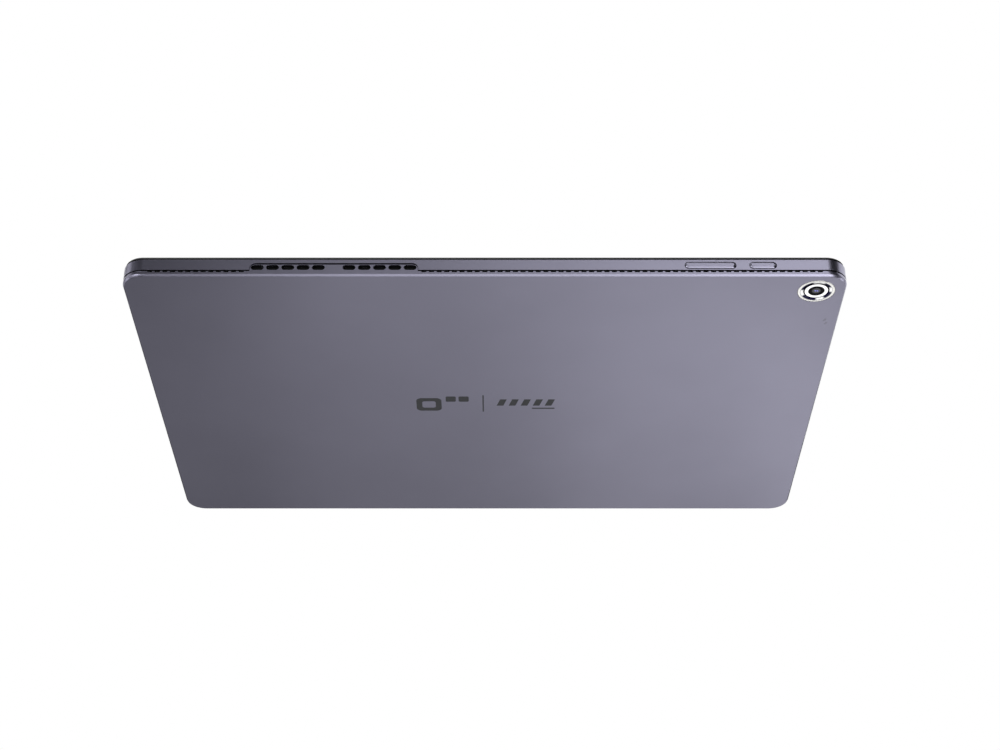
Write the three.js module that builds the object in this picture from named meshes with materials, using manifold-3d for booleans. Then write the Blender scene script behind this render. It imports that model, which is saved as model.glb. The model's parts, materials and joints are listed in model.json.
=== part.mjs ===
// Ten-inch tablet computer, lying on its back with the screen up.
// Millimetres. +X runs along the long edges, the edge with the keys and the speaker slots faces -Y,
// and +Z points out of the screen. Z = 0 is the outer face of the back cover.
import * as THREE from "three";
import { mergeVertices } from "three/addons/utils/BufferGeometryUtils.js";
import Module from "manifold-3d";

const wasm = await Module();
wasm.setup();

// Outline of the closed case
const WIDTH = 246;
const DEPTH = 169.5;
const CORNER = 7.5;
const FRONT_Y = -DEPTH / 2; // outer face of the edge with the keys
const SIDE_X = WIDTH / 2; // outer face of the edge with the ports
const CORNER_STEPS = 8;

// Levels through the thickness, from the back face up to the glass
const COVER_FLOOR = 0.8;
const LIP_BOTTOM = 1.0;
const RIM_TOP = 1.95;
const FRAME_BOTTOM = 2.45;
const PLATE_BOTTOM = 4.4;
const PLATE_TOP = 4.9;
const FRAME_TOP = 6.8;
const GLASS_BOTTOM = 7.0;
const GLASS_TOP = 7.9;
const MID_HEIGHT = 4.38; // centre line of the keys and ports in the side frame

// Walls and edges
const COVER_CHAMFER = { inset: 0.5, height: 0.75 };
const FRAME_CHAMFER = { inset: 0.3, height: 0.3 };
const GLASS_CHAMFER = { inset: 0.3, height: 0.3 };
const RIM_WALL = 1.0;
const LIP_INSET = 1.15; // the frame's lip stands inside the cover's rim
const FRAME_WALL = 2.3;
const GLASS_INSET = 0.4;

// Speaker tab of the back cover, which stands up into the side frame
const TAB = { left: -79.3, right: -22.55, top: 4.6, corner: 1.7 };
const TAB_SIDE_GAP = 0.12;
const TAB_TOP_GAP = 0.6;
const SLOT = { length: 4.3, height: 1.65, z: 3.4, pitch: 5.15, perGroup: 5 };
const SLOT_GROUP_STARTS = [-76.75, -45.8];

// Row of small notches along the top of the cover's rim, on the edge with the keys
const NOTCH = { width: 1.7, depth: 0.45, pitch: 2.57 };
const NOTCH_ROWS = [
  { first: -112.9, count: 13 },
  { first: -20.5, count: 53 },
];

// Rear camera
const CAMERA = { x: 112.95, y: FRONT_Y + 9.3 };
const TRIM = { outer: 6.375, face: 5.4, inner: 4.3, flange: 6.85, top: 1.3 };
const LENS_RING = { inner: 2.7, outer: 4.05, bottom: 0.12, top: 1.2 };
const LENS_RADIUS = 2.6;
const REAR_MODULE = { barrel: 3.4, barrelBottom: 1.4, width: 9.8, bottom: 2.2, top: 4.8 };
const REAR_FLEX = { width: 6, back: -60 };

// Keys on the front edge
const KEY_HEIGHT = 2.5;
const KEY_PROUD = 0.3;
const KEY_CLEARANCE = 0.15;
const ROCKER = { x: 76.285, length: 17.1, flangeY: -82.12 };
const POWER = { x: 94.04, length: 8.9, flangeY: -82.35 };
const FLANGE = { thickness: 0.3, overhang: 1.1, height: 3.3 };
const KEY_NIB = { width: 1.6, height: 1.2 };
const ROCKER_NIB = 6; // distance of each nib from the rocker's pivot
const SWITCH = { width: 3, depth: 1.1, height: 2.2, faceY: -81.2 };

const KEY_FLEX = { left: 65, right: 101, top: 5.6, tailLeft: 86, tailRight: 92 };
const KEY_BRACKET = { left: 64, right: 102, bottom: 3.6, top: 6, thickness: 0.5 };
const BRACKET_FOOT = { back: -75, bottom: 4.1 };
const BRACKET_HOLES = { xs: [68, 98], y: -77 };

// Ports and card tray on the right-hand edge
const USB = { y: 0, width: 8.94, height: 3.26, wall: 0.33, length: 7.3, hole: 0.26, setBack: 0.3 };
const TONGUE = { width: 6.7, thickness: 0.7, setBack: 0.6 };
const JACK = { y: 75.2, radius: 1.75, width: 5.2, length: 12, bottom: 2.2, top: 6.5 };
const JACK_FLEX = { left: 104, right: 108.4, front: 30 };
const MIC = { y: 16, z: 3.9, radius: 0.5 };
const MIC_CAN = { left: 113.5, right: 117, depth: 3, top: 4.3 };
const TRAY = { y: -48, z: 4.1, width: 12, length: 16.5, bottom: 3.1, top: 4.1 };
const TRAY_FACE = { width: 14, height: 2.4, depth: 1.0 };
const TRAY_GAP = 0.15;
const CARD_POCKET = { margin: 0.8, floor: 0.35, front: 3.2 };
const CARD_WINDOW = { margin: 1.8, front: 5 };
const EJECT_HOLE = { radius: 0.45, y: 5.6, z: 0.45, depth: 3 };
const CAGE = { bottom: 2.75, top: 4.36, wall: 0.35 };

// Display stack
const PANEL = { width: 226, depth: 144 };
const STACK = { trayWall: 0.2, guideBottom: 5.1, guideTop: 5.8, sheetsTop: 6.1 };

// Boards
const BOARD = { left: 60, right: 119, front: -66, back: 40, bottom: 2.4, top: 3.2 };
const BOARD_NOTCH = { usb: 113.5, tray: 100 };
const FLEX_THICKNESS = 0.2;
const FLEX_BOTTOM = 3.25;
const BOARD_HOLES = [
  [63.5, -62.5],
  [104, -62.5],
  [63.5, -10],
  [106, -15],
  [63.5, 36.5],
  [115, 36.5],
];
const BOSS_RADIUS = 1.7;
const THREAD_RADIUS = 0.75;
const SCREW = { headRadius: 1.3, headHeight: 0.6, shankRadius: 0.6, driveRadius: 0.5, driveDepth: 0.25 };
const BOARD_SCREW_LENGTH = 2.1;
const BRACKET_SCREW_LENGTH = 0.6;
const SHIELD_BOTTOM = 1.1;
const SHIELDS = [
  { name: "processor_shield", left: 68, right: 94, front: -55, back: -25 },
  { name: "memory_shield", left: 68, right: 94, front: -20, back: 5 },
  { name: "radio_shield", left: 70, right: 92, front: 12, back: 32 },
];
const DISPLAY_CONNECTOR = { left: 72, right: 98, front: 26, back: 31.8, top: 4.2 };
const DISPLAY_FLEX = { left: 70, right: 100, top: 6.5, bend: 74.6 };

// Battery
const CELL = { width: 72, depth: 100, corner: 3, y: 10, bottom: 1.1 };
const CELL_XS = { left: -72, right: 4 };
const PROTECTION_BOARD = { left: -70, right: 30, front: -47, back: -41 };
const BATTERY_LEAD = { left: 24, right: 66, front: -46, back: -42 };

// Loudspeakers, behind the two groups of slots
const SPEAKER = { width: 27, depth: 19.5, y: -72, corner: 1.5, bottom: 1.1, top: 4.2 };
const SPEAKER_CONE = { width: 20, depth: 11, y: -71, corner: 4, top: 1.5 };
const SPEAKER_OUTLET = { margin: 2, front: -83, back: -80, bottom: 2.6, top: 4.0 };
const SPEAKER_LEFTS = { left: -80, right: -49 };
const SOUND_WINDOW = { margin: 1, bottom: 2.6, top: 4.3 };
const SPEAKER_MESH = { margin: 1.2, front: -83.4, back: -82.6, bottom: 2.7, top: 4.2 };

// Front camera and wireless antenna
const FRONT_CAMERA = { y: -77.4, width: 6.8, bottom: 5, top: 6.3, lensRadius: 2, lensTop: 6.9 };
const FRONT_FLEX = { width: 4, high: 5.1, bend: -73, end: -50 };
const ANTENNA = { left: -119, right: -113, front: 40, back: 72, bottom: 3.6, top: 3.8 };
const LEAD_RADIUS = 0.4;

// ---------------------------------------------------------------- shapes

function roundedRect(width, depth, radius, centreX = 0, centreY = 0) {
  const x = width / 2 - radius;
  const y = depth / 2 - radius;
  const shape = new THREE.Shape();
  shape.absarc(centreX + x, centreY - y, radius, -Math.PI / 2, 0);
  shape.absarc(centreX + x, centreY + y, radius, 0, Math.PI / 2);
  shape.absarc(centreX - x, centreY + y, radius, Math.PI / 2, Math.PI);
  shape.absarc(centreX - x, centreY - y, radius, Math.PI, 1.5 * Math.PI);
  return shape;
}

// The case outline moved inwards by a distance.
function caseOutline(inset) {
  return roundedRect(WIDTH - 2 * inset, DEPTH - 2 * inset, CORNER - inset);
}

// A slot outline: a straight stretch with half-round ends.
function pill(length, height, centreX, centreY) {
  const radius = height / 2;
  const x = length / 2 - radius;
  const shape = new THREE.Shape();
  shape.absarc(centreX + x, centreY, radius, -Math.PI / 2, Math.PI / 2);
  shape.absarc(centreX - x, centreY, radius, Math.PI / 2, 1.5 * Math.PI);
  return shape;
}

function circle(radius, centreX = 0, centreY = 0) {
  return new THREE.Shape().absarc(centreX, centreY, radius, 0, 2 * Math.PI);
}

function polygon(points) {
  return new THREE.Shape(points.map(([x, y]) => new THREE.Vector2(x, y)));
}

// Upright plate with rounded top corners, drawn as X and Z.
function archway(left, right, bottom, top, corner) {
  const shape = new THREE.Shape();
  shape.moveTo(left, bottom);
  shape.lineTo(right, bottom);
  shape.absarc(right - corner, top - corner, corner, 0, Math.PI / 2);
  shape.absarc(left + corner, top - corner, corner, Math.PI / 2, Math.PI);
  return shape;
}

function extrude(shape, depth, segments = CORNER_STEPS) {
  return new THREE.ExtrudeGeometry(shape, { depth, bevelEnabled: false, curveSegments: segments });
}

function alongZ(shape, bottom, top, segments) {
  return extrude(shape, top - bottom, segments).translate(0, 0, bottom);
}

// A shape drawn as X and Z, pulled along Y.
function alongY(shape, from, to, segments) {
  return extrude(shape, to - from, segments).rotateX(Math.PI / 2).translate(0, to, 0);
}

// A shape drawn as Y and Z, pulled along X.
function alongX(shape, from, to, segments) {
  return extrude(shape, to - from, segments)
    .rotateX(Math.PI / 2)
    .rotateZ(Math.PI / 2)
    .translate(from, 0, 0);
}

function block(left, right, front, back, bottom, top) {
  const box = new THREE.BoxGeometry(right - left, back - front, top - bottom);
  return box.translate((left + right) / 2, (front + back) / 2, (bottom + top) / 2);
}

function cylinder(radius, bottom, top, x = 0, y = 0, segments = 24) {
  const shape = new THREE.CylinderGeometry(radius, radius, top - bottom, segments);
  return shape.rotateX(Math.PI / 2).translate(x, y, (bottom + top) / 2);
}

// A profile of radius and height, turned about Z.
function lathe(points, segments = 32) {
  const profile = points.map(([radius, height]) => new THREE.Vector2(radius, height));
  return new THREE.LatheGeometry(profile, segments).rotateX(Math.PI / 2);
}

// ---------------------------------------------------------------- joining and cutting

function toSolid(geometry) {
  const bare = geometry.clone();
  bare.deleteAttribute("normal");
  bare.deleteAttribute("uv");
  const merged = mergeVertices(bare, 1e-4);
  const mesh = new wasm.Mesh({
    numProp: 3,
    vertProperties: new Float32Array(merged.attributes.position.array),
    triVerts: new Uint32Array(merged.index.array),
  });
  return new wasm.Manifold(mesh);
}

function toGeometry(solid) {
  const mesh = solid.getMesh();
  const geometry = new THREE.BufferGeometry();
  geometry.setAttribute("position", new THREE.BufferAttribute(mesh.vertProperties, 3));
  geometry.setIndex(new THREE.BufferAttribute(mesh.triVerts, 1));
  return geometry;
}

function join(...pieces) {
  return toGeometry(pieces.map(toSolid).reduce((all, piece) => all.add(piece)));
}

function cut(body, ...tools) {
  return toGeometry(tools.map(toSolid).reduce((rest, tool) => rest.subtract(tool), toSolid(body)));
}

// A slab of the case outline with its lower or upper edge chamfered.
function chamferedSlab(inset, bottom, top, chamfer, edge) {
  const spare = 2;
  const low = edge === "lower" ? bottom : bottom - spare;
  const high = edge === "upper" ? top : top + spare;
  const slab = new THREE.ExtrudeGeometry(caseOutline(inset), {
    depth: high - low - 2 * chamfer.height,
    bevelEnabled: true,
    bevelThickness: chamfer.height,
    bevelSize: chamfer.inset,
    bevelOffset: -chamfer.inset,
    bevelSegments: 1,
    curveSegments: CORNER_STEPS,
  }).translate(0, 0, low + chamfer.height);
  const keep = block(-WIDTH, WIDTH, -DEPTH, DEPTH, bottom, top);
  return toGeometry(toSolid(slab).intersect(toSolid(keep)));
}

function ring(outerInset, innerInset, bottom, top) {
  const shape = caseOutline(outerInset);
  shape.holes.push(caseOutline(innerInset));
  return alongZ(shape, bottom, top);
}

// ---------------------------------------------------------------- materials and meshes

function finish(color, roughness, metalness) {
  return { color, roughness, metalness };
}

const FINISH = {
  paint: finish(0x85849a, 0.42, 0.6),
  glass: finish(0x07080a, 0.06, 0),
  foam: finish(0x1b1b1e, 0.95, 0),
  panel: finish(0x0b0d12, 0.2, 0),
  sheet: finish(0xe6e8ea, 0.6, 0),
  clear: finish(0xdfe8ec, 0.1, 0),
  steel: finish(0xb9bbbf, 0.35, 1),
  polished: finish(0xf2f1ec, 0.12, 1),
  white: finish(0xf6f6f4, 0.3, 0.2),
  black: finish(0x101012, 0.5, 0),
  lens: finish(0x0a0c18, 0.04, 0),
  board: finish(0x14323a, 0.55, 0),
  flex: finish(0x8a5a1e, 0.5, 0),
  pouch: finish(0x33353b, 0.5, 0.4),
  gold: finish(0xc7a24a, 0.35, 1),
};

function piece(name, geometry, look) {
  const mesh = new THREE.Mesh(geometry, new THREE.MeshStandardMaterial(look));
  mesh.name = name;
  return mesh;
}

function group(...members) {
  return new THREE.Group().add(...members);
}

// ---------------------------------------------------------------- case

function speakerSlots() {
  const tools = [];
  for (const start of SLOT_GROUP_STARTS) {
    for (let i = 0; i < SLOT.perGroup; i++) {
      const outline = pill(SLOT.length, SLOT.height, start + i * SLOT.pitch, SLOT.z);
      tools.push(alongY(outline, FRONT_Y - 1, FRONT_Y + RIM_WALL + 0.1, 4));
    }
  }
  return tools;
}

function rimNotches() {
  const tools = [];
  for (const row of NOTCH_ROWS) {
    for (let i = 0; i < row.count; i++) {
      const x = row.first + i * NOTCH.pitch;
      const left = x - NOTCH.width / 2;
      const right = x + NOTCH.width / 2;
      tools.push(block(left, right, FRONT_Y - 1, FRONT_Y + 0.5, RIM_TOP - NOTCH.depth, RIM_TOP + 1));
    }
  }
  return tools;
}

function backCover() {
  const tray = cut(
    chamferedSlab(0, 0, RIM_TOP, COVER_CHAMFER, "lower"),
    alongZ(caseOutline(RIM_WALL), COVER_FLOOR, RIM_TOP + 1),
    cylinder(TRIM.outer + 0.1, -1, 2, CAMERA.x, CAMERA.y, 40),
  );
  const outline = archway(TAB.left, TAB.right, 1, TAB.top, TAB.corner);
  const tab = alongY(outline, FRONT_Y, FRONT_Y + RIM_WALL, 5);
  return cut(join(tray, tab), ...speakerSlots(), ...rimNotches());
}

// Openings that go through the wall of the side frame.
function wallOpenings() {
  const inside = FRAME_WALL + 0.1;
  const inwards = (outline, segments) => alongY(outline, FRONT_Y - 1, FRONT_Y + inside, segments);
  const sideways = (outline, segments) => alongX(outline, SIDE_X - inside, SIDE_X + 1, segments);
  const keyHole = ({ x, length }) =>
    inwards(pill(length + 2 * KEY_CLEARANCE, KEY_HEIGHT + 2 * KEY_CLEARANCE, x, MID_HEIGHT), 6);
  const soundWindow = (left) => {
    const { margin, bottom, top } = SOUND_WINDOW;
    return block(left + margin, left + SPEAKER.width - margin, FRONT_Y, FRONT_Y + inside, bottom, top);
  };
  const recess = archway(
    TAB.left - TAB_SIDE_GAP,
    TAB.right + TAB_SIDE_GAP,
    FRAME_BOTTOM - 0.1,
    TAB.top + TAB_TOP_GAP,
    TAB.corner + 0.4,
  );
  const trayFace = pill(TRAY_FACE.width + 2 * TRAY_GAP, TRAY_FACE.height + 2 * TRAY_GAP, TRAY.y, TRAY.z);
  const pocketFloor = SIDE_X - TRAY_FACE.depth - TRAY_GAP;
  const halfSlot = TRAY.width / 2 + TRAY_GAP;
  const slotBottom = TRAY.bottom - TRAY_GAP;
  const slotTop = TRAY.top + TRAY_GAP;
  return [
    keyHole(ROCKER),
    keyHole(POWER),
    alongY(recess, FRONT_Y - 1, FRONT_Y + LIP_INSET, 5),
    soundWindow(SPEAKER_LEFTS.left),
    soundWindow(SPEAKER_LEFTS.right),
    sideways(pill(USB.width + USB.hole, USB.height + USB.hole, USB.y, MID_HEIGHT), 6),
    sideways(circle(JACK.radius, JACK.y, MID_HEIGHT), 10),
    sideways(circle(MIC.radius, MIC.y, MIC.z), 6),
    alongX(trayFace, pocketFloor, SIDE_X + 1, 6),
    block(SIDE_X - inside, pocketFloor + 0.1, TRAY.y - halfSlot, TRAY.y + halfSlot, slotBottom, slotTop),
  ];
}

function sideFrame() {
  const body = join(
    chamferedSlab(0, FRAME_BOTTOM, FRAME_TOP, FRAME_CHAMFER, "upper"),
    alongZ(caseOutline(LIP_INSET), LIP_BOTTOM, FRAME_BOTTOM + 0.5),
  );
  const inside = alongZ(caseOutline(FRAME_WALL), LIP_BOTTOM - 1, FRAME_TOP + 1);
  return cut(body, inside, ...wallOpenings());
}

// Openings in the middle plate for what passes or crosses it.
function plateOpenings() {
  const low = PLATE_BOTTOM - 1;
  const high = PLATE_TOP + 1;
  const opening = (left, right, front, back) => block(left, right, front, back, low, high);
  const frontWall = FRONT_Y + FRAME_WALL - 0.1;
  const sideWall = SIDE_X - FRAME_WALL + 0.1;
  const camera = REAR_MODULE.width / 2 + 0.7;
  const usb = USB.width / 2 + 1.5;
  const jack = JACK.width / 2 + 0.4;
  const flexBend = DISPLAY_FLEX.bend;
  const front = FRONT_CAMERA.y + FRONT_CAMERA.width / 2;
  return [
    opening(CAMERA.x - camera, CAMERA.x + camera, CAMERA.y - camera, CAMERA.y + camera),
    opening(KEY_BRACKET.left - 1, KEY_BRACKET.right + 1, frontWall, BRACKET_HOLES.y - 2.2),
    opening(SIDE_X - USB.length - 3.2, sideWall, USB.y - usb, USB.y + usb),
    opening(SIDE_X - JACK.length - 3.5, sideWall, JACK.y - jack, JACK.y + jack),
    opening(DISPLAY_FLEX.left - 2, DISPLAY_FLEX.right + 2, flexBend - 1.2, flexBend + 1),
    opening(-FRONT_FLEX.width, FRONT_FLEX.width, front + 0.4, FRONT_FLEX.bend + 0.6),
  ];
}

// The plate that fills the side frame, with a threaded boss for each screw of the main board.
function middlePlate() {
  const boss = ([x, y]) => cylinder(BOSS_RADIUS, BOARD.top, PLATE_BOTTOM + 0.1, x, y, 12);
  const bossHole = ([x, y]) => cylinder(THREAD_RADIUS, BOARD.top - 0.1, PLATE_TOP - 0.2, x, y, 12);
  const bracketHole = (x) =>
    cylinder(THREAD_RADIUS, PLATE_BOTTOM - 0.1, PLATE_TOP - 0.1, x, BRACKET_HOLES.y, 12);
  const plate = join(alongZ(caseOutline(FRAME_WALL), PLATE_BOTTOM, PLATE_TOP), ...BOARD_HOLES.map(boss));
  return cut(plate, ...BOARD_HOLES.map(bossHole), ...BRACKET_HOLES.xs.map(bracketHole), ...plateOpenings());
}

function caseParts() {
  return group(
    piece("back_cover", backCover(), FINISH.paint),
    piece("cover_adhesive", ring(1.35, 2.15, COVER_FLOOR, LIP_BOTTOM), FINISH.foam),
    piece("side_frame", sideFrame(), FINISH.paint),
    piece("middle_plate", middlePlate(), FINISH.steel),
  );
}

// ---------------------------------------------------------------- display

// Ribbon from the panel's far edge, down past the middle plate and back to the main board.
function displayFlex() {
  const { left, right, top, bend } = DISPLAY_FLEX;
  const t = FLEX_THICKNESS;
  const edge = PANEL.depth / 2 + 0.1;
  const end = BOARD.back - 8;
  const side = polygon([
    [edge, top - t],
    [bend - t, top - t],
    [bend - t, FLEX_BOTTOM + t],
    [end, FLEX_BOTTOM + t],
    [end, FLEX_BOTTOM],
    [bend, FLEX_BOTTOM],
    [bend, top],
    [edge, top],
  ]);
  return alongX(side, left, right);
}

// A layer of the display, smaller than the panel by a margin all round.
function layer(margin, bottom, top) {
  const x = PANEL.width / 2 - margin;
  const y = PANEL.depth / 2 - margin;
  return block(-x, x, -y, y, bottom, top);
}

function display() {
  const { trayWall, guideBottom, guideTop, sheetsTop } = STACK;
  const glass = chamferedSlab(GLASS_INSET, GLASS_BOTTOM, GLASS_TOP, GLASS_CHAMFER, "upper");
  const tray = cut(layer(0, PLATE_TOP, sheetsTop), layer(trayWall, PLATE_TOP + trayWall, sheetsTop + 1));
  const loose = trayWall + 0.1;
  return group(
    piece("cover_glass", glass, FINISH.glass),
    piece("display_seal", ring(1.0, FRAME_WALL, FRAME_TOP, GLASS_BOTTOM), FINISH.foam),
    piece("lcd_panel", layer(0, sheetsTop, GLASS_BOTTOM), FINISH.panel),
    piece("backlight_tray", tray, FINISH.steel),
    piece("light_guide", layer(loose, guideBottom, guideTop), FINISH.clear),
    piece("diffuser_sheets", layer(loose, guideTop, sheetsTop), FINISH.sheet),
    piece("display_flex", displayFlex(), FINISH.flex),
  );
}

// ---------------------------------------------------------------- cameras

// A square prism about the Z axis.
function squareBlock(width, bottom, top) {
  return block(-width / 2, width / 2, -width / 2, width / 2, bottom, top);
}

function rearCamera() {
  const face = 0.02;
  const shoulder = COVER_FLOOR + 0.05;
  const coneTop = 0.3;
  const trim = lathe([
    [TRIM.face, face],
    [TRIM.outer - 0.1, face],
    [TRIM.outer, 0.12],
    [TRIM.outer, shoulder],
    [TRIM.flange, shoulder],
    [TRIM.flange, TRIM.top],
    [TRIM.inner, TRIM.top],
    [TRIM.inner, coneTop],
    [TRIM.face, face],
  ], 40);
  const lensRing = lathe([
    [LENS_RING.inner, LENS_RING.bottom],
    [LENS_RING.outer, LENS_RING.bottom],
    [LENS_RING.outer, LENS_RING.top],
    [LENS_RING.inner, LENS_RING.top],
    [LENS_RING.inner, LENS_RING.bottom],
  ], 40);
  const lens = lathe([
    [0, 0.18],
    [1.6, 0.23],
    [LENS_RADIUS, 0.38],
    [LENS_RADIUS, 1.1],
    [0, 1.1],
  ], 32);
  const module = join(
    cylinder(REAR_MODULE.barrel, REAR_MODULE.barrelBottom, REAR_MODULE.bottom + 0.1),
    squareBlock(REAR_MODULE.width, REAR_MODULE.bottom, REAR_MODULE.top),
  );
  const stack = group(
    piece("rear_camera_trim", trim, FINISH.polished),
    piece("rear_camera_inner_ring", lensRing, FINISH.white),
    piece("rear_camera_lens", lens, FINISH.lens),
    piece("rear_camera_module", module, FINISH.black),
  );
  stack.position.set(CAMERA.x, CAMERA.y, 0);
  const flex = block(
    CAMERA.x - REAR_FLEX.width / 2,
    CAMERA.x + REAR_FLEX.width / 2,
    CAMERA.y + REAR_MODULE.width / 2 + 0.1,
    REAR_FLEX.back,
    FLEX_BOTTOM,
    FLEX_BOTTOM + FLEX_THICKNESS,
  );
  return group(stack, piece("rear_camera_flex", flex, FINISH.flex));
}

function frontCamera() {
  const { y, width, bottom, top, lensRadius, lensTop } = FRONT_CAMERA;
  const { high, bend, end } = FRONT_FLEX;
  const module = join(squareBlock(width, bottom, top), cylinder(lensRadius, top - 0.1, lensTop));
  const t = FLEX_THICKNESS;
  const start = y + width / 2 + 0.1;
  const drop = polygon([
    [start, high],
    [bend, high],
    [bend, FLEX_BOTTOM],
    [end, FLEX_BOTTOM],
    [end, FLEX_BOTTOM + t],
    [bend + t, FLEX_BOTTOM + t],
    [bend + t, high + t],
    [start, high + t],
  ]);
  const half = FRONT_FLEX.width / 2;
  const run = block(-half, BOARD.left + 4, end - FRONT_FLEX.width, end, FLEX_BOTTOM, FLEX_BOTTOM + t);
  const camera = piece("front_camera_module", module, FINISH.black);
  camera.position.y = y;
  return group(camera, piece("front_camera_flex", join(alongX(drop, -half, half), run), FINISH.flex));
}

// ---------------------------------------------------------------- keys

// A key about its own centre: cap, stem through the frame, retaining flange and pusher nibs.
function keyBody(key, nibPositions) {
  const inner = key.flangeY + FLANGE.thickness;
  const nibEnd = SWITCH.faceY - 0.33;
  const halfFlange = key.length / 2 + FLANGE.overhang;
  const half = FLANGE.height / 2;
  const nib = (x) => {
    const w = KEY_NIB.width / 2;
    const h = KEY_NIB.height / 2;
    return block(x - w, x + w, inner - 0.1, nibEnd, -h, h);
  };
  return join(
    alongY(pill(key.length, KEY_HEIGHT, 0, 0), FRONT_Y - KEY_PROUD, key.flangeY + 0.1, 6),
    block(-halfFlange, halfFlange, key.flangeY, inner, -half, half),
    ...nibPositions.map(nib),
  );
}

function keySwitch(name, x) {
  const { width, depth, height, faceY } = SWITCH;
  const plunger = { width: 1.8, height: 1.2, length: 0.3 };
  const front = faceY + plunger.length;
  const geometry = join(
    block(-width / 2, width / 2, front, faceY + depth, -height / 2, height / 2),
    block(-plunger.width / 2, plunger.width / 2, faceY, front + 0.2, -plunger.height / 2, plunger.height / 2),
  );
  const mesh = piece(name, geometry, FINISH.steel);
  mesh.position.set(x, 0, MID_HEIGHT);
  return mesh;
}

function keys() {
  const rocker = piece("volume_rocker", keyBody(ROCKER, [-ROCKER_NIB, ROCKER_NIB]), FINISH.paint);
  rocker.position.set(ROCKER.x, 0, MID_HEIGHT);
  const power = piece("power_button", keyBody(POWER, [0]), FINISH.paint);
  power.position.set(POWER.x, 0, MID_HEIGHT);

  const flexFront = SWITCH.faceY + SWITCH.depth;
  const flexBack = flexFront + FLEX_THICKNESS;
  const { left, right, top, tailLeft, tailRight } = KEY_FLEX;
  const flex = join(
    block(left, right, flexFront, flexBack, FLEX_BOTTOM, top),
    block(tailLeft, tailRight, flexFront, REAR_FLEX.back, FLEX_BOTTOM, FLEX_BOTTOM + FLEX_THICKNESS),
  );
  const bent = (back, low, high) => block(KEY_BRACKET.left, KEY_BRACKET.right, flexBack, back, low, high);
  const wall = bent(flexBack + KEY_BRACKET.thickness, KEY_BRACKET.bottom, KEY_BRACKET.top);
  const foot = bent(BRACKET_FOOT.back, BRACKET_FOOT.bottom, PLATE_BOTTOM);
  const hole = (x) => cylinder(0.8, BRACKET_FOOT.bottom - 0.2, PLATE_BOTTOM + 0.2, x, BRACKET_HOLES.y, 12);
  return group(
    rocker,
    power,
    keySwitch("volume_up_switch", ROCKER.x - ROCKER_NIB),
    keySwitch("volume_down_switch", ROCKER.x + ROCKER_NIB),
    keySwitch("power_switch", POWER.x),
    piece("side_key_flex", flex, FINISH.flex),
    piece("key_bracket", cut(join(wall, foot), ...BRACKET_HOLES.xs.map(hole)), FINISH.steel),
  );
}

// ---------------------------------------------------------------- ports on the right-hand edge

function usbPort() {
  const front = SIDE_X - USB.setBack;
  const back = front - USB.length;
  const floor = back + 0.6;
  const outside = pill(USB.width, USB.height, USB.y, MID_HEIGHT);
  const inside = pill(USB.width - 2 * USB.wall, USB.height - 2 * USB.wall, USB.y, MID_HEIGHT);
  const shell = cut(alongX(outside, back, front, 6), alongX(inside, floor, front + 1, 6));
  const halfWidth = TONGUE.width / 2;
  const halfThick = TONGUE.thickness / 2;
  const tongue = block(
    floor,
    front - TONGUE.setBack,
    USB.y - halfWidth,
    USB.y + halfWidth,
    MID_HEIGHT - halfThick,
    MID_HEIGHT + halfThick,
  );
  return group(
    piece("usb_port_shell", shell, FINISH.steel),
    piece("usb_port_tongue", tongue, FINISH.black),
  );
}

function headphoneJack() {
  const { y, radius, width, length, bottom, top } = JACK;
  const front = SIDE_X - FRAME_WALL - 0.2;
  const back = front - length;
  const housing = block(back, front, y - width / 2, y + width / 2, bottom, top);
  const bore = alongX(circle(radius, y, MID_HEIGHT), back + 1, front + 1, 10);
  const flexTop = FLEX_BOTTOM + FLEX_THICKNESS;
  const flex = block(JACK_FLEX.left, JACK_FLEX.right, JACK_FLEX.front, y + 2, FLEX_BOTTOM, flexTop);
  return group(
    piece("headphone_jack", cut(housing, bore), FINISH.black),
    piece("jack_flex", flex, FINISH.flex),
  );
}

function cardReader() {
  const { y, z, width, length, bottom, top } = TRAY;
  const half = width / 2;
  const faceBack = SIDE_X - TRAY_FACE.depth;
  const plateEnd = faceBack - length;
  const face = alongX(pill(TRAY_FACE.width, TRAY_FACE.height, y, z), faceBack, SIDE_X, 6);
  const plate = block(plateEnd, faceBack + 0.1, y - half, y + half, bottom, top);
  const recess = ({ margin, front }, floor) =>
    block(plateEnd + margin, SIDE_X - front, y - half + margin, y + half - margin, floor, top + 1);
  const eject = circle(EJECT_HOLE.radius, y + EJECT_HOLE.y, z + EJECT_HOLE.z);
  const tray = cut(
    join(face, plate),
    recess(CARD_POCKET, bottom + CARD_POCKET.floor),
    recess(CARD_WINDOW, bottom - 1),
    alongX(eject, SIDE_X - EJECT_HOLE.depth, SIDE_X + 1, 6),
  );

  const cageFront = SIDE_X - FRAME_WALL - 0.3;
  const slot = half + TRAY_GAP;
  const outer = slot + CAGE.wall;
  const cage = cut(
    block(plateEnd - 1, cageFront, y - outer, y + outer, CAGE.bottom, CAGE.top),
    block(plateEnd - 0.6, cageFront + 1, y - slot, y + slot, bottom - 0.1, top + 0.1),
  );
  return group(piece("card_tray", tray, FINISH.paint), piece("card_reader_cage", cage, FINISH.steel));
}

// ---------------------------------------------------------------- boards

function mainBoard() {
  const { left, right, front, back, bottom, top } = BOARD;
  const usb = USB.width / 2 + 0.33;
  const tray = TRAY.width / 2 + 0.9;
  return cut(
    block(left, right, front, back, bottom, top),
    block(BOARD_NOTCH.usb, right + 1, USB.y - usb, USB.y + usb, bottom - 1, top + 1),
    block(BOARD_NOTCH.tray, right + 1, TRAY.y - tray, TRAY.y + tray, bottom - 1, top + 1),
    ...BOARD_HOLES.map(([x, y]) => cylinder(0.9, bottom - 1, top + 1, x, y, 12)),
  );
}

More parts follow.
